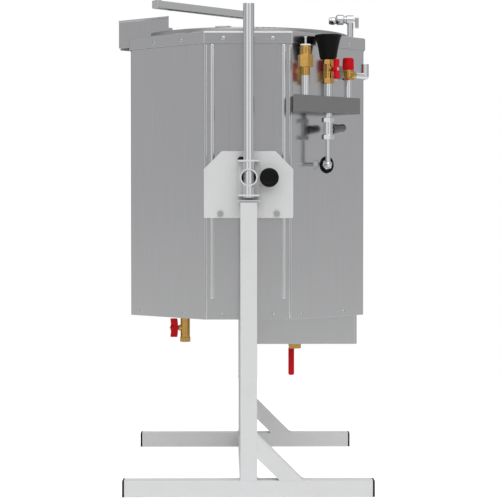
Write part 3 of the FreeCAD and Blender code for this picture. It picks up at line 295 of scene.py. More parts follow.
class Finish:
    """A material under construction, with its shader and helpers to feed it."""

    def __init__(self, name, **values):
        self.material = bpy.data.materials.new(name)
        self.material.use_nodes = True
        self.tree = self.material.node_tree
        self.shader = self.tree.nodes["Principled BSDF"]
        for key, value in values.items():
            self.shader.inputs[key.replace("_", " ")].default_value = value
        self.coords = add(self.tree, "ShaderNodeTexCoord").outputs["Object"]

    def turned(self, rotation=(0, 0, 0), centre=(0, 0, 0)):
        """Object coordinates moved to a centre and turned."""
        shift = add(self.tree, "ShaderNodeMapping", {"vector_type": "TEXTURE"})
        shift.inputs["Location"].default_value = centre
        shift.inputs["Rotation"].default_value = rotation
        self.tree.links.new(self.coords, shift.inputs["Vector"])
        self.coords = shift.outputs[0]

    def group(self, tree, **values):
        """Place a shared group, fed with the coordinates."""
        node = add(self.tree, "ShaderNodeGroup", {"node_tree": tree}, **values)
        if "Vector" in node.inputs:
            self.tree.links.new(self.coords, node.inputs["Vector"])
        return node

    def ramp(self, source, low, high, start=0.0, end=1.0):
        """Value moved from one range to another."""
        node = add(self.tree, "ShaderNodeMapRange")
        for key, value in (("From Min", start), ("From Max", end), ("To Min", low), ("To Max", high)):
            node.inputs[key].default_value = value
        self.tree.links.new(source, node.inputs["Value"])
        return node.outputs[0]

    def mix(self, mask, low, high):
        """Blend of two colours or colour outputs by a mask."""
        node = add(self.tree, "ShaderNodeMix", {"data_type": "RGBA"})
        self.tree.links.new(mask, node.inputs["Factor"])
        for socket, value in ((node.inputs[6], low), (node.inputs[7], high)):
            if isinstance(value, tuple):
                socket.default_value = value + (1,)
            else:
                self.tree.links.new(value, socket)
        return node.outputs[2]

    def combine(self, operation, a, b):
        """Two values put together."""
        node = add(self.tree, "ShaderNodeMath", {"operation": operation})
        for socket, value in ((node.inputs[0], a), (node.inputs[1], b)):
            if isinstance(value, (int, float)):
                socket.default_value = value
            else:
                self.tree.links.new(value, socket)
        return node.outputs[0]

    def feed(self, socket, source):
        """An output joined to one of the shader's sockets."""
        self.tree.links.new(source, self.shader.inputs[socket])

    def bump(self, height, strength, distance, rounded=None):
        """Height fed through a Bump node, over edges that an edge group has rounded."""
        node = add(self.tree, "ShaderNodeBump", Strength=strength, Distance=distance)
        if rounded:
            self.tree.links.new(rounded.outputs["Rounded"], node.inputs["Normal"])
        self.tree.links.new(height, node.inputs["Height"])
        self.feed("Normal", node.outputs[0])


def ground_sheet(name, tone, rotation=(0, 0, 0), across=900.0, along=5.0, rough=0.33):
    """Ground stainless sheet with its lines along local Z."""
    f = Finish(name, Metallic=1.0)
    f.turned(rotation)
    grain = f.group(GRAIN, Across=across, Along=along)
    marks = f.group(MARKS, Size=9.0, Cover=0.52)
    edges = f.group(EDGES, Width=0.0016, Breakup=45.0)
    lines = f.mix(grain.outputs["Lines"], shade(tone, 0.90), shade(tone, 1.10))
    drifted = f.mix(f.ramp(grain.outputs["Drift"], 0.0, 0.22), lines, shade(tone, 1.25))
    polished = f.mix(f.ramp(edges.outputs["Edges"], 0.0, 0.6), drifted, shade(tone, 1.5))
    f.feed("Base Color", polished)
    base = f.ramp(grain.outputs["Lines"], rough - 0.04, rough + 0.05)
    smear = f.ramp(marks.outputs["Marks"], 0.0, 0.06)
    f.feed("Roughness", f.combine("ADD", base, smear))
    f.bump(grain.outputs["Lines"], 0.12, 0.00006, edges)
    return f.material


def spun_steel(name, tone, rough=0.30):
    """Steel turned or ground round the vertical axis."""
    f = Finish(name, Metallic=1.0)
    split = add(f.tree, "ShaderNodeSeparateXYZ")
    f.tree.links.new(f.coords, split.inputs[0])
    radius = add(f.tree, "ShaderNodeVectorMath", {"operation": "LENGTH"})
    flat = add(f.tree, "ShaderNodeCombineXYZ")
    f.tree.links.new(split.outputs[0], flat.inputs[0])
    f.tree.links.new(split.outputs[1], flat.inputs[1])
    f.tree.links.new(flat.outputs[0], radius.inputs[0])
    ring = add(f.tree, "ShaderNodeCombineXYZ")
    f.tree.links.new(radius.outputs["Value"], ring.inputs[0])
    f.tree.links.new(split.outputs[2], ring.inputs[1])
    lines = add(f.tree, "ShaderNodeTexNoise", Scale=420.0, Detail=5.0, Roughness=0.7)
    f.tree.links.new(ring.outputs[0], lines.inputs["Vector"])
    marks = f.group(MARKS, Size=11.0, Cover=0.5)
    tint = f.mix(lines.outputs["Fac"], shade(tone, 0.84), shade(tone, 1.14))
    f.feed("Base Color", tint)
    base = f.ramp(lines.outputs["Fac"], rough - 0.08, rough + 0.10)
    f.feed("Roughness", f.combine("ADD", base, f.ramp(marks.outputs["Marks"], 0.0, 0.10)))
    f.bump(lines.outputs["Fac"], 0.3, 0.0001)
    return f.material


def bright_metal(name, tone, rough, mark=0.10):
    """Polished or plated metal with fingermarks and hairlines."""
    f = Finish(name, Metallic=1.0)
    marks = f.group(MARKS, Size=24.0, Cover=0.5)
    grain = f.group(GRAIN, Across=1600.0, Along=40.0)
    edges = f.group(EDGES, Width=0.0008, Breakup=90.0)
    lines = f.mix(grain.outputs["Lines"], shade(tone, 0.92), tone)
    worn = f.mix(f.ramp(edges.outputs["Edges"], 0.0, 0.7), lines, shade(tone, 1.2))
    f.feed("Base Color", worn)
    base = f.ramp(grain.outputs["Lines"], rough * 0.8, rough * 1.3)
    f.feed("Roughness", f.combine("ADD", base, f.ramp(marks.outputs["Marks"], 0.0, mark)))
    f.bump(grain.outputs["Lines"], 0.08, 0.00004, edges)
    return f.material


def cast_brass(name):
    """Forged brass: tarnish in the hollows, brighter on machined edges."""
    f = Finish(name, Metallic=1.0)
    marks = f.group(MARKS, Size=60.0, Cover=0.42)
    skin = f.group(SKIN, Grain=1400.0)
    edges = f.group(EDGES, Width=0.0012, Breakup=150.0)
    body = f.mix(f.ramp(marks.outputs["Marks"], 0.0, 0.60), (0.60, 0.36, 0.10), (0.34, 0.17, 0.04))
    bright = f.mix(edges.outputs["Edges"], body, (0.88, 0.64, 0.26))
    f.feed("Base Color", bright)
    f.feed("Roughness", f.ramp(marks.outputs["Marks"], 0.14, 0.30))
    f.bump(skin.outputs["Height"], 0.10, 0.00008, edges)
    return f.material


def powder_coat(name, tone, grain=520.0, dust=0.25):
    """Powder-coated steel: orange peel, a little dust and rubbed edges."""
    f = Finish(name, Specular_IOR_Level=0.5)
    skin = f.group(SKIN, Grain=grain)
    marks = f.group(MARKS, Size=12.0, Cover=0.5)
    edges = f.group(EDGES, Width=0.0012, Breakup=35.0)
    dusty = f.mix(f.ramp(marks.outputs["Marks"], 0.0, dust), tone, shade(tone, 0.80))
    rubbed = f.mix(f.ramp(edges.outputs["Edges"], 0.0, 0.5), dusty, shade(tone, 1.12))
    specked = f.mix(f.ramp(marks.outputs["Specks"], 0.0, 0.16), rubbed, shade(tone, 0.55))
    f.feed("Base Color", specked)
    f.feed("Roughness", f.ramp(skin.outputs["Height"], 0.34, 0.50))
    f.bump(skin.outputs["Height"], 0.30, 0.0003, edges)
    return f.material


def moulded_plastic(name, tone, rough, grain=1500.0, coat=0.0, gloss=0.18):
    """Moulded or dipped plastic with a fine skin and dusty smears."""
    f = Finish(name, Coat_Weight=coat, Coat_Roughness=0.12, Specular_IOR_Level=gloss)
    skin = f.group(SKIN, Grain=grain)
    marks = f.group(MARKS, Size=40.0, Cover=0.5)
    edges = f.group(EDGES, Width=0.0010, Breakup=120.0)
    smeared = f.mix(f.ramp(marks.outputs["Marks"], 0.0, 0.35), tone, shade(tone, 1.3, 0.002))
    rubbed = f.mix(f.ramp(edges.outputs["Edges"], 0.0, 0.6), smeared, shade(tone, 1.4, 0.008))
    f.feed("Base Color", rubbed)
    f.feed("Roughness", f.combine("ADD", f.ramp(skin.outputs["Height"], rough - 0.06, rough + 0.08),
                                  f.ramp(marks.outputs["Marks"], 0.0, 0.12)))
    f.bump(skin.outputs["Height"], 0.25, 0.0002, edges)
    return f.material


def wool(name):
    """Mineral wool lagging."""
    f = Finish(name, Roughness=0.95)
    skin = f.group(SKIN, Grain=160.0)
    f.feed("Base Color", f.mix(skin.outputs["Height"], (0.42, 0.36, 0.20), (0.72, 0.66, 0.46)))
    f.bump(skin.outputs["Height"], 0.8, 0.003)
    return f.material


STEEL = (0.53, 0.533, 0.538)
BAR_TURN = 0.82
finish = {
    "panel": ground_sheet("ground_panel_sheet", STEEL, rough=0.15),
    # Lighter copy of the panel sheet for the beads and folded edges: a painted highlight.
    "bead": ground_sheet("pressed_sheet_painted_highlight", (0.60, 0.604, 0.61), rough=0.17),
    "cover": ground_sheet("ground_cover_sheet", STEEL, rotation=(0, math.pi / 2, 0), rough=0.17),
    "vessel": spun_steel("spun_vessel_steel", (0.44, 0.445, 0.45)),
    "bar": ground_sheet("ground_bar_steel", (0.62, 0.625, 0.63),
                        rotation=(0, math.pi / 2, BAR_TURN), rough=0.26),
    "chrome": bright_metal("polished_pipe", (0.74, 0.75, 0.76), 0.06, mark=0.05),
    "zinc": bright_metal("zinc_plate", (0.55, 0.56, 0.57), 0.30),
    "dull": bright_metal("dull_plated_steel", (0.40, 0.404, 0.41), 0.42),
    # Very dark grey tone for the strainer sleeve on the manifold's tee.
    "strainer": bright_metal("dark_toned_strainer_metal", (0.17, 0.171, 0.174), 0.40),
    "tap": bright_metal("plated_tap_casting", (0.64, 0.645, 0.65), 0.10),
    "white": moulded_plastic("white_nylon", (0.78, 0.78, 0.77), 0.40),
    "brass": cast_brass("forged_brass"),
    "bronze": bright_metal("turned_bronze", (0.55, 0.33, 0.16), 0.30),
    "stand": powder_coat("stand_powder_coat", (0.63, 0.633, 0.637)),
    "bracket": powder_coat("bracket_coat", (0.155, 0.155, 0.157), grain=700.0),
    "black": moulded_plastic("black_moulding", (0.0042, 0.0042, 0.0045), 0.44, gloss=0.10),
    "rubber": moulded_plastic("black_rubber", (0.006, 0.006, 0.006), 0.62, grain=700.0, gloss=0.10),
    "red": moulded_plastic("red_dipped_grip", (0.60, 0.0035, 0.009), 0.36, coat=0.05, gloss=0.12),
    "wool": wool("mineral_wool"),
    "element": bright_metal("annealed_sheath", (0.22, 0.21, 0.20), 0.42),
}
WEARS = {
    "panel": ("near_side_panel", "far_side_panel", "front_panel", "rear_panel", "bottom_plate",
              "control_box", "spout", "jacket", "panel_screws"),
    "cover": ("top_cover",),
    "vessel": ("vessel", "stirrer_shaft", "stirrer_paddle", "far_trunnion"),
    "bar": ("stirrer_arm", "stirrer_bridge"),
    "chrome": ("tilt_lever", "index_pin", "vent_pipe", "fill_pipe", "safety_pipe", "pipe_manifold",
               "discharge_elbow", "vent_pin"),
    "tap": ("tap_body", "tap_lever"),
    "zinc": ("arm_bolt", "index_sleeve"),
    "dull": ("housing_bolts",),
    "brass": ("vent_valve", "fill_valve", "safety_valve", "drain_valve", "outlet_valve"),
    "bronze": ("trunnion_bushes",),
    "stand": ("near_rail", "near_post", "near_brace", "far_rail", "far_post", "far_brace", "crossbar",
              "near_bearing_housing", "far_bearing_housing", "bearing_carriers", "lever_socket",
              "near_trunnion"),
    "bracket": ("pipe_bracket",),
    "black": ("rail_end_caps", "index_knob", "funnel", "tap_nozzle", "lever_screw"),
    "rubber": ("inlet_grommet",),
    "red": ("fill_handle", "drain_handle", "outlet_lever", "safety_cap"),
    "wool": ("lagging",),
    "element": ("heating_elements",),
}


def dress_nodes():
    """Give every carried-over piece its finish."""
    for key, names in WEARS.items():
        for name in names:
            data = nodes[name].data
            data.materials.clear()
            data.materials.append(finish[key])


# Pieces made here, each on the CAD body that carries it

def piece(name, bm, look, body, slot, *stands_for):
    """Turn a bmesh into a finished piece that rides on a body."""
    mesh = bpy.data.meshes.new(name)
    bm.to_mesh(mesh)
    bm.free()
    mesh.shade_smooth()
    mesh.set_sharp_from_angle(angle=math.radians(35))
    mesh.materials.append(finish[look])
    obj = bpy.data.objects.new(name, mesh)
    scene.collection.objects.link(obj)
    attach(obj, body)
    if stands_for:
        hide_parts(*stands_for)
    return obj


def lathe(profile, steps=64, closed=False):
    """Turn a (radius, height) profile about Z."""
    bm = bmesh.new()
    points = [bm.verts.new((r, 0, z)) for r, z in profile]
    lines = [bm.edges.new(pair) for pair in zip(points, points[1:])]
    if closed:
        lines.append(bm.edges.new((points[-1], points[0])))
    bmesh.ops.spin(bm, geom=points + lines, axis=(0, 0, 1), cent=(0, 0, 0), steps=steps,
                   angle=2 * math.pi, use_merge=True)
    bmesh.ops.remove_doubles(bm, verts=bm.verts, dist=1e-6)
    bmesh.ops.recalc_face_normals(bm, faces=bm.faces)
    return bm


def soften(bm, width, segments=3, angle=0.6):
    """Round every edge that turns by more than the angle."""
    sharp = [e for e in bm.edges if len(e.link_faces) == 2 and e.calc_face_angle() > angle]
    bmesh.ops.bevel(bm, geom=sharp, offset=width, offset_type="OFFSET", affect="EDGES",
                    segments=segments, profile=0.5, material=-1, clamp_overlap=True)


def stood(bm, at, along=(0, 0, 1)):
    """Turn a form's Z to a direction and move it to a point."""
    turn = Vector((0, 0, 1)).rotation_difference(Vector(along)).to_matrix().to_4x4()
    bmesh.ops.transform(bm, matrix=Matrix.Translation(at) @ turn, verts=bm.verts)
    return bm


def joined(forms):
    """Several forms in one bmesh."""
    whole = bmesh.new()
    for form in forms:
        part = bpy.data.meshes.new("part")
        form.to_mesh(part)
        form.free()
        whole.from_mesh(part)
        bpy.data.meshes.remove(part)
    return whole


def islands(node):
    """Lowest and highest corner of every loose body in a CAD node."""
    bm = bmesh.new()
    bm.from_mesh(nodes[node].data)
    bmesh.ops.remove_doubles(bm, verts=bm.verts, dist=1e-5)
    left = set(bm.verts)
    found = []
    while left:
        group = [left.pop()]
        for v in group:
            for e in v.link_edges:
                other = e.other_vert(v)
                if other in left:
                    left.discard(other)
                    group.append(other)
        low = Vector([min(v.co[k] for v in group) for k in range(3)])
        high = Vector([max(v.co[k] for v in group) for k in range(3)])
        found.append((low, high))
    bm.free()
    return sorted(found, key=lambda pair: tuple(pair[0]))


def middle(node):
    """Centre of a node's box."""
    low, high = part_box(node)
    return (Vector(low) + Vector(high)) / 2


# Sizes of the pieces made here, in metres, and angles in degrees

SCREW_RADIUS = 0.0045
SCREW_HEIGHT = 0.0023
RECESS_DEPTH = 0.0012
RECESS_ARM = 22.5
UPPER_SCREWS = 1.0
UPPER_SCREW_SCALE = (1.35, 1.35, 1.2)
THIN_HEAD = 0.004
WASHER = ((0.0062, 0), (0.0098, 0), (0.0098, 0.0011), (0.0092, 0.0016), (0.0062, 0.0016))
VENT_WASHER = ((0.0058, 0), (0.0128, 0), (0.0128, 0.0028), (0.0120, 0.0036), (0.0058, 0.0036))
# Shares of the lip's radius and of the cup's height
CUP_FLARE = ((0.56, 0.0), (0.60, 0.03), (0.645, 0.12), (0.68, 0.25), (0.725, 0.40), (0.80, 0.60),
             (0.89, 0.80), (0.955, 0.91))
CUP_WALL = 0.0021
CUP_BORE = 0.006
WING_TIP = 0.0134
WING_BACK = 0.0022
WING_THICK = 0.0140
FILL_WING_DEEP = 0.0125
DRAIN_WING_DEEP = 0.0210
DRAIN_WING_PROUD = 0.0085
CAP_RIBS = 30
LEVER_PLATE_Y = 0.0226
LEVER_BAR_WIDTH = 0.0110
LEVER_GRIP_WIDTH = 0.0155
LEVER_GRIP_START = 0.010
LEVER_GRIP_BELOW = 0.0030
LEVER_THICK = 0.0026
STRAINER_RISE = 6.0
TEE_BELOW_BRACKET = 0.041
PANEL_FACE = 0.300
BEAD_X = 0.088
BEAD_HALF = 0.0056
BEAD_ABOVE_BOTTOM = 0.050
BEAD_BELOW_TOP = 0.028
FOLD_HALF = 0.0019
FOLD_RISE = 0.0009
FOLD_BELOW_TOP = 0.032
FOLD_ABOVE_BOTTOM = 0.001
BEAD_SEAT = 0.0001
CAP_PLATE = 0.0072
CAP_SKIN = 0.00004


# Screw heads, washers and nuts

def cross_head():
    """Pan head with a crossed recess, its seat at the origin."""
    bm = lathe([(SCREW_RADIUS, 0), (SCREW_RADIUS, 0.0004), (0.0041, 0.0013), (0.0033, 0.0019),
                (0.0023, SCREW_HEIGHT)], steps=16)
    rim = [e for e in bm.edges if e.is_boundary and e.verts[0].co.z > 0.002]
    top = bmesh.ops.contextual_create(bm, geom=rim)["faces"]
    slices = bmesh.ops.poke(bm, faces=top)["faces"]
    arms = []
    for f in slices:
        spot = f.calc_center_median()
        if int(math.degrees(math.atan2(spot.y, spot.x)) % 360 / RECESS_ARM) % 4 == 0:
            arms.append(f)
    walls = bmesh.ops.extrude_face_region(bm, geom=arms)["geom"]
    floor = [v for v in walls if isinstance(v, bmesh.types.BMVert)]
    bmesh.ops.translate(bm, vec=(0, 0, -RECESS_DEPTH), verts=floor)
    bmesh.ops.delete(bm, geom=arms, context="FACES")
    return bm


def make_panel_screws():
    """Crossed screw heads where the CAD has its plain domes."""
    heads = []
    for low, high in islands("panel_screws"):
        centre = (low + high) / 2
        thin = [k for k in (0, 1) if high[k] - low[k] < THIN_HEAD]
        if thin:
            out = Vector((0, 0, 0))
            out[thin[0]] = math.copysign(1.0, centre[thin[0]])
        else:
            out = Vector((math.copysign(1.0, centre.x), math.copysign(1.0, centre.y), 0))
            out.normalize()
        seat = centre - out * SCREW_HEIGHT / 2
        head = cross_head()
        if thin == [1] and centre.z > UPPER_SCREWS:
            bmesh.ops.scale(head, vec=UPPER_SCREW_SCALE, verts=head.verts)
        heads.append(stood(head, seat, out))
    piece("panel_screw_heads", joined(heads), "zinc", "kettle", "stainless_panel", "panel_screws")


def hexagon_nut(across, height, bore=0.0):
    """Chamfered nut or bolt head, seat at the origin."""
    bm = bmesh.new()
    corner = across / math.sqrt(3)
    bmesh.ops.create_cone(bm, cap_ends=True, segments=6, radius1=corner, radius2=corner, depth=height)
    bmesh.ops.translate(bm, vec=(0, 0, height / 2), verts=bm.verts)
    soften(bm, 0.0006, segments=2)
    if bore:
        stud = lathe([(0, height - 0.001), (bore, height - 0.001), (bore, height + 0.0012),
                      (bore - 0.0006, height + 0.0018), (0, height + 0.0018)], steps=24)
        return joined([bm, stud])
    return bm


def make_washers():
    """Chamfered washers under the bearing bolts."""
    rings = []
    for low, high in islands("housing_bolts"):
        centre = (low + high) / 2
        out = math.copysign(1.0, centre.y)
        seat = Vector((centre.x, low.y if out > 0 else high.y, centre.z))
        rings.append(stood(lathe(WASHER, closed=True), seat, (0, out, 0)))
    piece("bearing_bolt_washers", joined(rings), "dull", "stand", "zinc_steel")


# Controls: knob, funnel, wings, cap, levers and tap

def make_index_knob():
    """Turned knob with a dished face and a short neck."""
    low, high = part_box("index_knob")
    centre = middle("index_knob")
    reach = high[1] - low[1]
    radius = (high[0] - low[0]) / 2
    bm = lathe([(0, 0), (0.0100, 0), (0.0105, 0.0035), (radius - 0.0030, 0.0042), (radius, 0.0075),
                (radius, reach - 0.0060), (radius - 0.0015, reach - 0.0020), (radius - 0.0050, reach),
                (0.0150, reach - 0.0004), (0.0125, reach - 0.0016), (0, reach - 0.0020)], steps=72)
    soften(bm, 0.0008, angle=0.35)
    piece("index_knob_moulding", stood(bm, (centre.x, high[1], centre.z), (0, -1, 0)),
          "black", "index_plunger", "black_plastic", "index_knob")


def make_funnel():
    """Moulded filling cup that flares to a rolled lip."""
    low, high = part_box("funnel")
    centre = middle("funnel")
    tall = high[2] - low[2]
    lip = (high[0] - low[0]) / 2
    outer = [(lip * r, tall * z) for r, z in CUP_FLARE]
    inner = [(r - CUP_WALL, z + CUP_WALL) for r, z in outer]
    roll = [(lip - 0.0006, tall - 0.0048), (lip, tall - 0.0030), (lip - 0.0006, tall - 0.0008),
            (lip - 0.0020, tall), (lip - 0.0034, tall - 0.0010)]
    outline = [(CUP_BORE, 0)] + outer + roll + inner[::-1] + [(CUP_BORE, 2 * CUP_WALL)]
    bm = lathe(outline, steps=80, closed=True)
    soften(bm, 0.0010, angle=0.5)
    piece("filling_cup", stood(bm, (centre.x, centre.y, low[2])), "black", "kettle",
          "black_plastic", "funnel")


def wing_plate(half, thick, deep):
    """Two swept wings on X outward, Z up, middle at the origin."""
    bm = bmesh.new()
    bmesh.ops.create_cube(bm, size=1.0)
    bmesh.ops.scale(bm, vec=(deep, thick, 2 * half), verts=bm.verts)
    upright = [e for e in bm.edges if abs(e.verts[0].co.z - e.verts[1].co.z) > half]
    bmesh.ops.subdivide_edges(bm, edges=upright, cuts=7, use_grid_fill=True)
    for v in bm.verts:
        t = abs(v.co.z) / half
        if v.co.x < 0:
            v.co.x += deep * 0.12 * t
        else:
            v.co.x -= deep * 0.10 * (1 - t)
        v.co.y *= 0.84 + 0.16 * t
    soften(bm, 0.0020, segments=3, angle=0.9)
    return bm


def make_wing_handle(name, node, outward, body, deep, proud=0.0):
    """Butterfly handle with its hub on the stem, and a plated nut at the stem's end."""
    low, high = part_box(node)
    out = Vector(outward).normalized()
    corners = [Vector((x, y, 0)).dot(out) for x in (low[0], high[0]) for y in (low[1], high[1])]
    centre = middle(node)
    half = (high[2] - low[2]) / 2
    tip = WING_TIP if out.y else max(corners) - centre.dot(out) + proud
    turn = Matrix.Rotation(math.atan2(out.y, out.x), 4, "Z")
    plate = wing_plate(half, WING_THICK, deep)
    bmesh.ops.translate(plate, vec=(tip - deep / 2 - WING_BACK, 0, 0), verts=plate.verts)
    root = tip - deep - 0.0060 - proud
    hub = lathe([(0, root), (0.0052, root), (0.0064, tip - 0.0125), (0.0082, tip - 0.0115),
                 (0.0085, tip - 0.0050), (0.0074, tip - 0.0026), (0, tip - 0.0024)], steps=40)
    handle = joined([plate, stood(hub, (0, 0, 0), (1, 0, 0))])
    nut = stood(hexagon_nut(0.0080, 0.0018, 0.0022), (tip - 0.0037, 0, 0), (1, 0, 0))
    place = Matrix.Translation(centre) @ turn
    for form in (handle, nut):
        bmesh.ops.transform(form, matrix=place, verts=form.verts)
    piece(name, handle, "red", body, "red_handle", node)
    piece(name + "_nut", nut, "zinc", body, "zinc_steel")


def make_safety_cap():
    """Red cap, slightly tapered, with fine grip ribs and a soft shoulder."""
    low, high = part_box("safety_cap")
    centre = middle("safety_cap")
    tall = high[2] - low[2]
    foot = (high[0] - low[0]) / 2 - 0.0012
    bm = lathe([(0, 0), (foot, 0), (foot, 0.0020), (foot - 0.0004, tall - 0.0040),
                (foot - 0.0007, tall - 0.0014), (foot - 0.0022, tall - 0.0001), (0, tall)],
               steps=CAP_RIBS * 2)
    walls = [f for f in bm.faces if 0.002 < f.calc_center_median().z < tall - 0.006]
    walls.sort(key=lambda f: math.atan2(f.calc_center_median().y, f.calc_center_median().x))
    bmesh.ops.inset_individual(bm, faces=walls[::2], thickness=0.0002, depth=0.0008)
    piece("safety_cap_moulding", stood(bm, (centre.x, centre.y, low[2])), "red", "safety_valve_cap",
          "red_handle", "safety_cap")


def strip(width, thick, length):
    """Flat bar from the origin down, its lower end rounded."""
    bm = bmesh.new()
    bmesh.ops.create_cube(bm, size=1.0)
    bmesh.ops.scale(bm, vec=(width, thick, length), verts=bm.verts)
    bmesh.ops.translate(bm, vec=(0, 0, -length / 2), verts=bm.verts)
    corners = [e for e in bm.edges if abs(e.verts[0].co.y - e.verts[1].co.y) > thick / 2 and
               e.verts[0].co.z < -length / 2]
    bmesh.ops.bevel(bm, geom=corners, offset=width * 0.30, offset_type="OFFSET", affect="EDGES",
                    segments=6, profile=0.5, material=-1, clamp_overlap=True)
    soften(bm, thick * 0.28, segments=3)
    return bm


def make_outlet_lever():
    """Plated strip on the stem, its free end dipped in red, held by a nut."""
    low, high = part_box("outlet_lever")
    centre = middle("outlet_lever")
    width = high[0] - low[0]
    stem_z = high[2] - width / 2
    reach = LEVER_PLATE_Y - low[1]
    eye = lathe([(0, 0), (width / 2, 0), (width / 2, LEVER_THICK), (0, LEVER_THICK)], steps=40)
    soften(eye, 0.0005, segments=2)
    bar = strip(LEVER_BAR_WIDTH, LEVER_THICK, stem_z - low[2] - 0.030)
    bmesh.ops.translate(bar, vec=(0, LEVER_THICK / 2, 0), verts=bar.verts)
    stem = lathe([(0, 0), (0.0049, 0), (0.0049, reach), (0, reach)], steps=24)
    nut = hexagon_nut(0.0100, 0.0036, 0.0026)
    metal = joined([stood(eye, (0, 0, 0), (0, 1, 0)), bar, stood(nut, (0, LEVER_THICK, 0), (0, 1, 0)),
                    stood(stem, (0, -reach, 0), (0, 1, 0))])
    grip = strip(LEVER_GRIP_WIDTH, 0.0048, stem_z - low[2] - LEVER_GRIP_START + LEVER_GRIP_BELOW)
    bmesh.ops.translate(grip, vec=(0, LEVER_THICK / 2, -LEVER_GRIP_START), verts=grip.verts)
    place = Matrix.Translation((centre.x, LEVER_PLATE_Y, stem_z))
    for form in (metal, grip):
        bmesh.ops.transform(form, matrix=place, verts=form.verts)
    piece("outlet_lever_strip", metal, "zinc", "outlet_valve_lever", "zinc_steel", "outlet_lever")
    piece("outlet_lever_grip", grip, "red", "outlet_valve_lever", "red_handle")


def make_tap_nozzle():
    """Plated outlet ring with a black jet former in its mouth."""
    low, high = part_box("tap_nozzle")
    centre = middle("tap_nozzle")
    long = high[0] - low[0]
    r = (high[2] - low[2]) / 2
    ring = lathe([(0.0066, long), (r - 0.0022, long), (r - 0.0012, long - 0.0010),
                  (r - 0.0012, long - 0.0050), (r, long - 0.0062), (r, 0.0040), (r - 0.0016, 0),
                  (0.0040, 0), (0.0040, 0.0030), (0.0066, 0.0040)], steps=56, closed=True)
    soften(ring, 0.0006, segments=2)
    former = lathe([(0, long - 0.0040), (0.0030, long - 0.0038), (0.0062, long - 0.0018),
                    (0.0072, long - 0.0002), (0.0080, long), (0.0080, long - 0.0008),
                    (0.0066, 0.0042), (0, 0.0042)], steps=40)
    start = (high[0], centre.y, centre.z)
    piece("tap_outlet_ring", stood(ring, start, (-1, 0, 0)), "tap", "kettle",
          "polished_steel", "tap_nozzle")
    piece("tap_jet_former", stood(former, start, (-1, 0, 0)), "black", "kettle", "black_plastic")


def make_lever_screw():
    """Button head with a hexagon recess."""
    low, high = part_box("lever_screw")
    centre = middle("lever_screw")
    r = (high[0] - low[0]) / 2
    tall = high[2] - low[2]
    bm = lathe([(r, 0), (r, tall * 0.25), (r * 0.94, tall * 0.55), (r * 0.76, tall * 0.84),
                (r * 0.52, tall)], steps=36)
    rim = [e for e in bm.edges if e.is_boundary and e.verts[0].co.z > tall * 0.9]
    hexagon = bmesh.ops.create_circle(bm, segments=6, radius=r * 0.40)["verts"]
    bmesh.ops.translate(bm, vec=(0, 0, tall), verts=hexagon)
    inner = [e for e in bm.edges if e.verts[0] in hexagon and e.verts[1] in hexagon]
    bmesh.ops.bridge_loops(bm, edges=rim + inner)
    walls = bmesh.ops.extrude_edge_only(bm, edges=inner)["geom"]
    floor = [g for g in walls if isinstance(g, bmesh.types.BMVert)]
    bmesh.ops.translate(bm, vec=(0, 0, -tall * 0.5), verts=floor)
    bmesh.ops.contextual_create(bm, geom=[g for g in walls if isinstance(g, bmesh.types.BMEdge) and
                                          g.verts[0] in floor and g.verts[1] in floor])
    foot = [e for e in bm.edges if e.is_boundary]
    bmesh.ops.contextual_create(bm, geom=foot)
    bmesh.ops.recalc_face_normals(bm, faces=bm.faces)
    piece("lever_screw_head", stood(bm, (centre.x, centre.y, low[2])), "black", "kettle", "black_plastic",
          "lever_screw")


def make_strainer_sleeve():
    """Cast sleeve, plug and bleed pip of the strainer on the manifold's tee."""
    centre = middle("fill_pipe")
    rise = math.radians(STRAINER_RISE)
    sideways = Vector((math.cos(rise), math.cos(rise), math.sqrt(2) * math.sin(rise))).normalized()
    start = Vector((centre.x, centre.y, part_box("pipe_bracket")[0][2] - TEE_BELOW_BRACKET))
    outline = [(0.0128, 0.0100), (0.0134, 0.0125), (0.0130, 0.0160), (0.0090, 0.0450), (0.0096, 0.0465),
               (0.0096, 0.0570), (0.0086, 0.0585), (0.0040, 0.0588), (0.0036, 0.0620), (0, 0.0622)]
    sleeve = lathe(outline, steps=48)
    soften(sleeve, 0.0004, segments=2)
    piece("strainer_sleeve", stood(sleeve, start, sideways), "strainer", "kettle", "polished_steel")


def make_vent_washer():
    """White nylon washer on top of the air vent."""
    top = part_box("vent_valve")[1][2]
    centre = middle("vent_pin")
    bm = lathe(VENT_WASHER, steps=48, closed=True)
    piece("vent_top_washer", stood(bm, (centre.x, centre.y, top)), "white", "kettle", "black_plastic")


# Welds under the paint of the stand

def weld_bead(start, end, radius=0.0030, ripple=0.0035):
    """Rippled bead half sunk in the corner it fills."""
    start, end = Vector(start), Vector(end)
    long = (end - start).length
    rings = max(4, 2 * round(long / ripple))
    bm = bmesh.new()
    loop = bmesh.ops.create_circle(bm, segments=10, radius=radius * 0.55)["verts"]
    edges = list({e for v in loop for e in v.link_edges})
    bmesh.ops.contextual_create(bm, geom=edges)
    for k in range(rings):
        geom = bmesh.ops.extrude_edge_only(bm, edges=edges)["geom"]
        verts = [g for g in geom if isinstance(g, bmesh.types.BMVert)]
        edges = [g for g in geom if isinstance(g, bmesh.types.BMEdge) and
                 g.verts[0] in verts and g.verts[1] in verts]
        z = long * (k + 1) / rings
        wanted = radius * (0.55 if k + 1 == rings else (1.0 if k % 2 else 0.86))
        for v in verts:
            flat = Vector((v.co.x, v.co.y)).normalized() * wanted
            v.co = (flat.x, flat.y, z)
    bmesh.ops.contextual_create(bm, geom=edges)
    bmesh.ops.recalc_face_normals(bm, faces=bm.faces)
    return stood(bm, start, end - start)


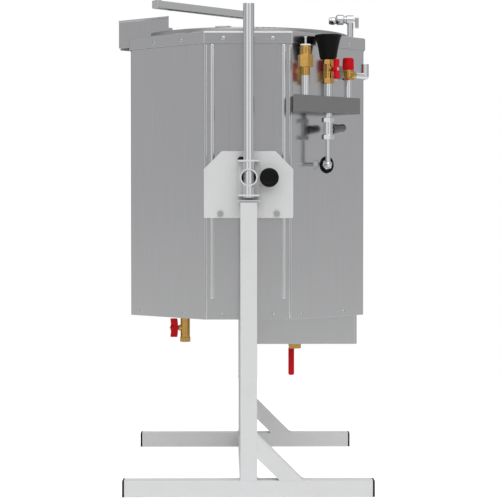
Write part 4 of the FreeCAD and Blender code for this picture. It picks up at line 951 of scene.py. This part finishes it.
def crown(x, out, bottom, top, half, rise):
    """Upright half-round ridge with round ends on a flat panel's face."""
    bm = bmesh.new()
    bmesh.ops.create_uvsphere(bm, u_segments=32, v_segments=16, radius=half)
    for v in bm.verts:
        v.co.z += math.copysign((top - bottom) / 2 - half, v.co.z) if abs(v.co.z) > 1e-6 else 0
    bmesh.ops.bisect_plane(bm, geom=bm.verts[:] + bm.edges[:] + bm.faces[:], plane_co=(0, 0, 0),
                           plane_no=(0, -out, 0), clear_outer=True)
    bmesh.ops.scale(bm, vec=(1, rise / half, 1), verts=bm.verts)
    bmesh.ops.translate(bm, vec=(x, out * PANEL_FACE, (top + bottom) / 2), verts=bm.verts)
    bmesh.ops.recalc_face_normals(bm, faces=bm.faces)
    return bm


def make_panel_beads():
    """Smooth crowns on the pressed beads and the folded edges of both flat panels, in a lighter copy of
    the panel sheet that paints a highlight along them.
    """
    crowns, folds = [], []
    for node, out in (("near_side_panel", -1), ("far_side_panel", 1)):
        low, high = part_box(node)
        rise = (-low[1] if out < 0 else high[1]) - PANEL_FACE + BEAD_SEAT
        for side in (-1, 1):
            crowns.append(crown(side * BEAD_X, out, low[2] + BEAD_ABOVE_BOTTOM,
                                high[2] - BEAD_BELOW_TOP, BEAD_HALF, rise))
            folds.append(crown(side * (high[0] - FOLD_HALF), out, low[2] + FOLD_ABOVE_BOTTOM,
                               high[2] - FOLD_BELOW_TOP, FOLD_HALF, FOLD_RISE))
    piece("panel_bead_crowns", joined(crowns), "bead", "kettle", "stainless_panel")
    piece("panel_edge_folds", joined(folds), "bead", "kettle", "stainless_panel")


def make_post_caps():
    """Thin plates in a darker plated finish over the caps of the posts."""
    caps = []
    for side in ("near", "far"):
        low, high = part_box(side + "_post")
        centre = middle(side + "_post")
        size = (high[0] - low[0] + CAP_SKIN, high[1] - low[1] + CAP_SKIN, CAP_PLATE)
        place = (centre.x, centre.y, high[2] + CAP_SKIN / 2 - CAP_PLATE / 2)
        bm = bmesh.new()
        bmesh.ops.create_cube(bm, size=1.0)
        bmesh.ops.scale(bm, vec=size, verts=bm.verts)
        bmesh.ops.translate(bm, vec=place, verts=bm.verts)
        soften(bm, 0.0012)
        caps.append(bm)
    piece("post_cap_plates", joined(caps), "dull", "stand", "zinc_steel")


def make_stand_welds():
    """Beads where the posts, braces and crossbar meet the rails."""
    beads = []
    for side in ("near", "far"):
        rail_low, rail_high = (Vector(c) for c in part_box(side + "_rail"))
        brace_low, brace_high = (Vector(c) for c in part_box(side + "_brace"))
        half = brace_low.x
        y0, y1 = rail_low.y + 0.002, rail_high.y - 0.002
        for x in (-half, half, brace_high.x):
            beads.append(weld_bead((x, y0, rail_high.z), (x, y1, rail_high.z)))
        beads.append(weld_bead((half, y0, brace_high.z), (half, y1, brace_high.z)))
        inner = rail_high.y if side == "near" else rail_low.y
        for x in (-half, half):
            beads.append(weld_bead((x, inner, 0.004), (x, inner, rail_high.z - 0.002)))
        beads.append(weld_bead((-half, inner, rail_high.z), (half, inner, rail_high.z), radius=0.0022))
    piece("stand_weld_beads", joined(beads), "stand", "stand", "stand_paint")


make_camera()
make_studio()
dress_nodes()
make_panel_screws()
make_washers()
make_index_knob()
make_funnel()
make_wing_handle("fill_valve_wings", "fill_handle", (1, -1, 0), "fill_valve_handle", FILL_WING_DEEP)
make_wing_handle("drain_valve_wings", "drain_handle", (-1, 0, 0), "drain_valve_handle", DRAIN_WING_DEEP,
                 DRAIN_WING_PROUD)
make_safety_cap()
make_outlet_lever()
make_tap_nozzle()
make_lever_screw()
make_strainer_sleeve()
make_vent_washer()
make_stand_welds()
make_panel_beads()
make_post_caps()

bpy.context.view_layer.update()
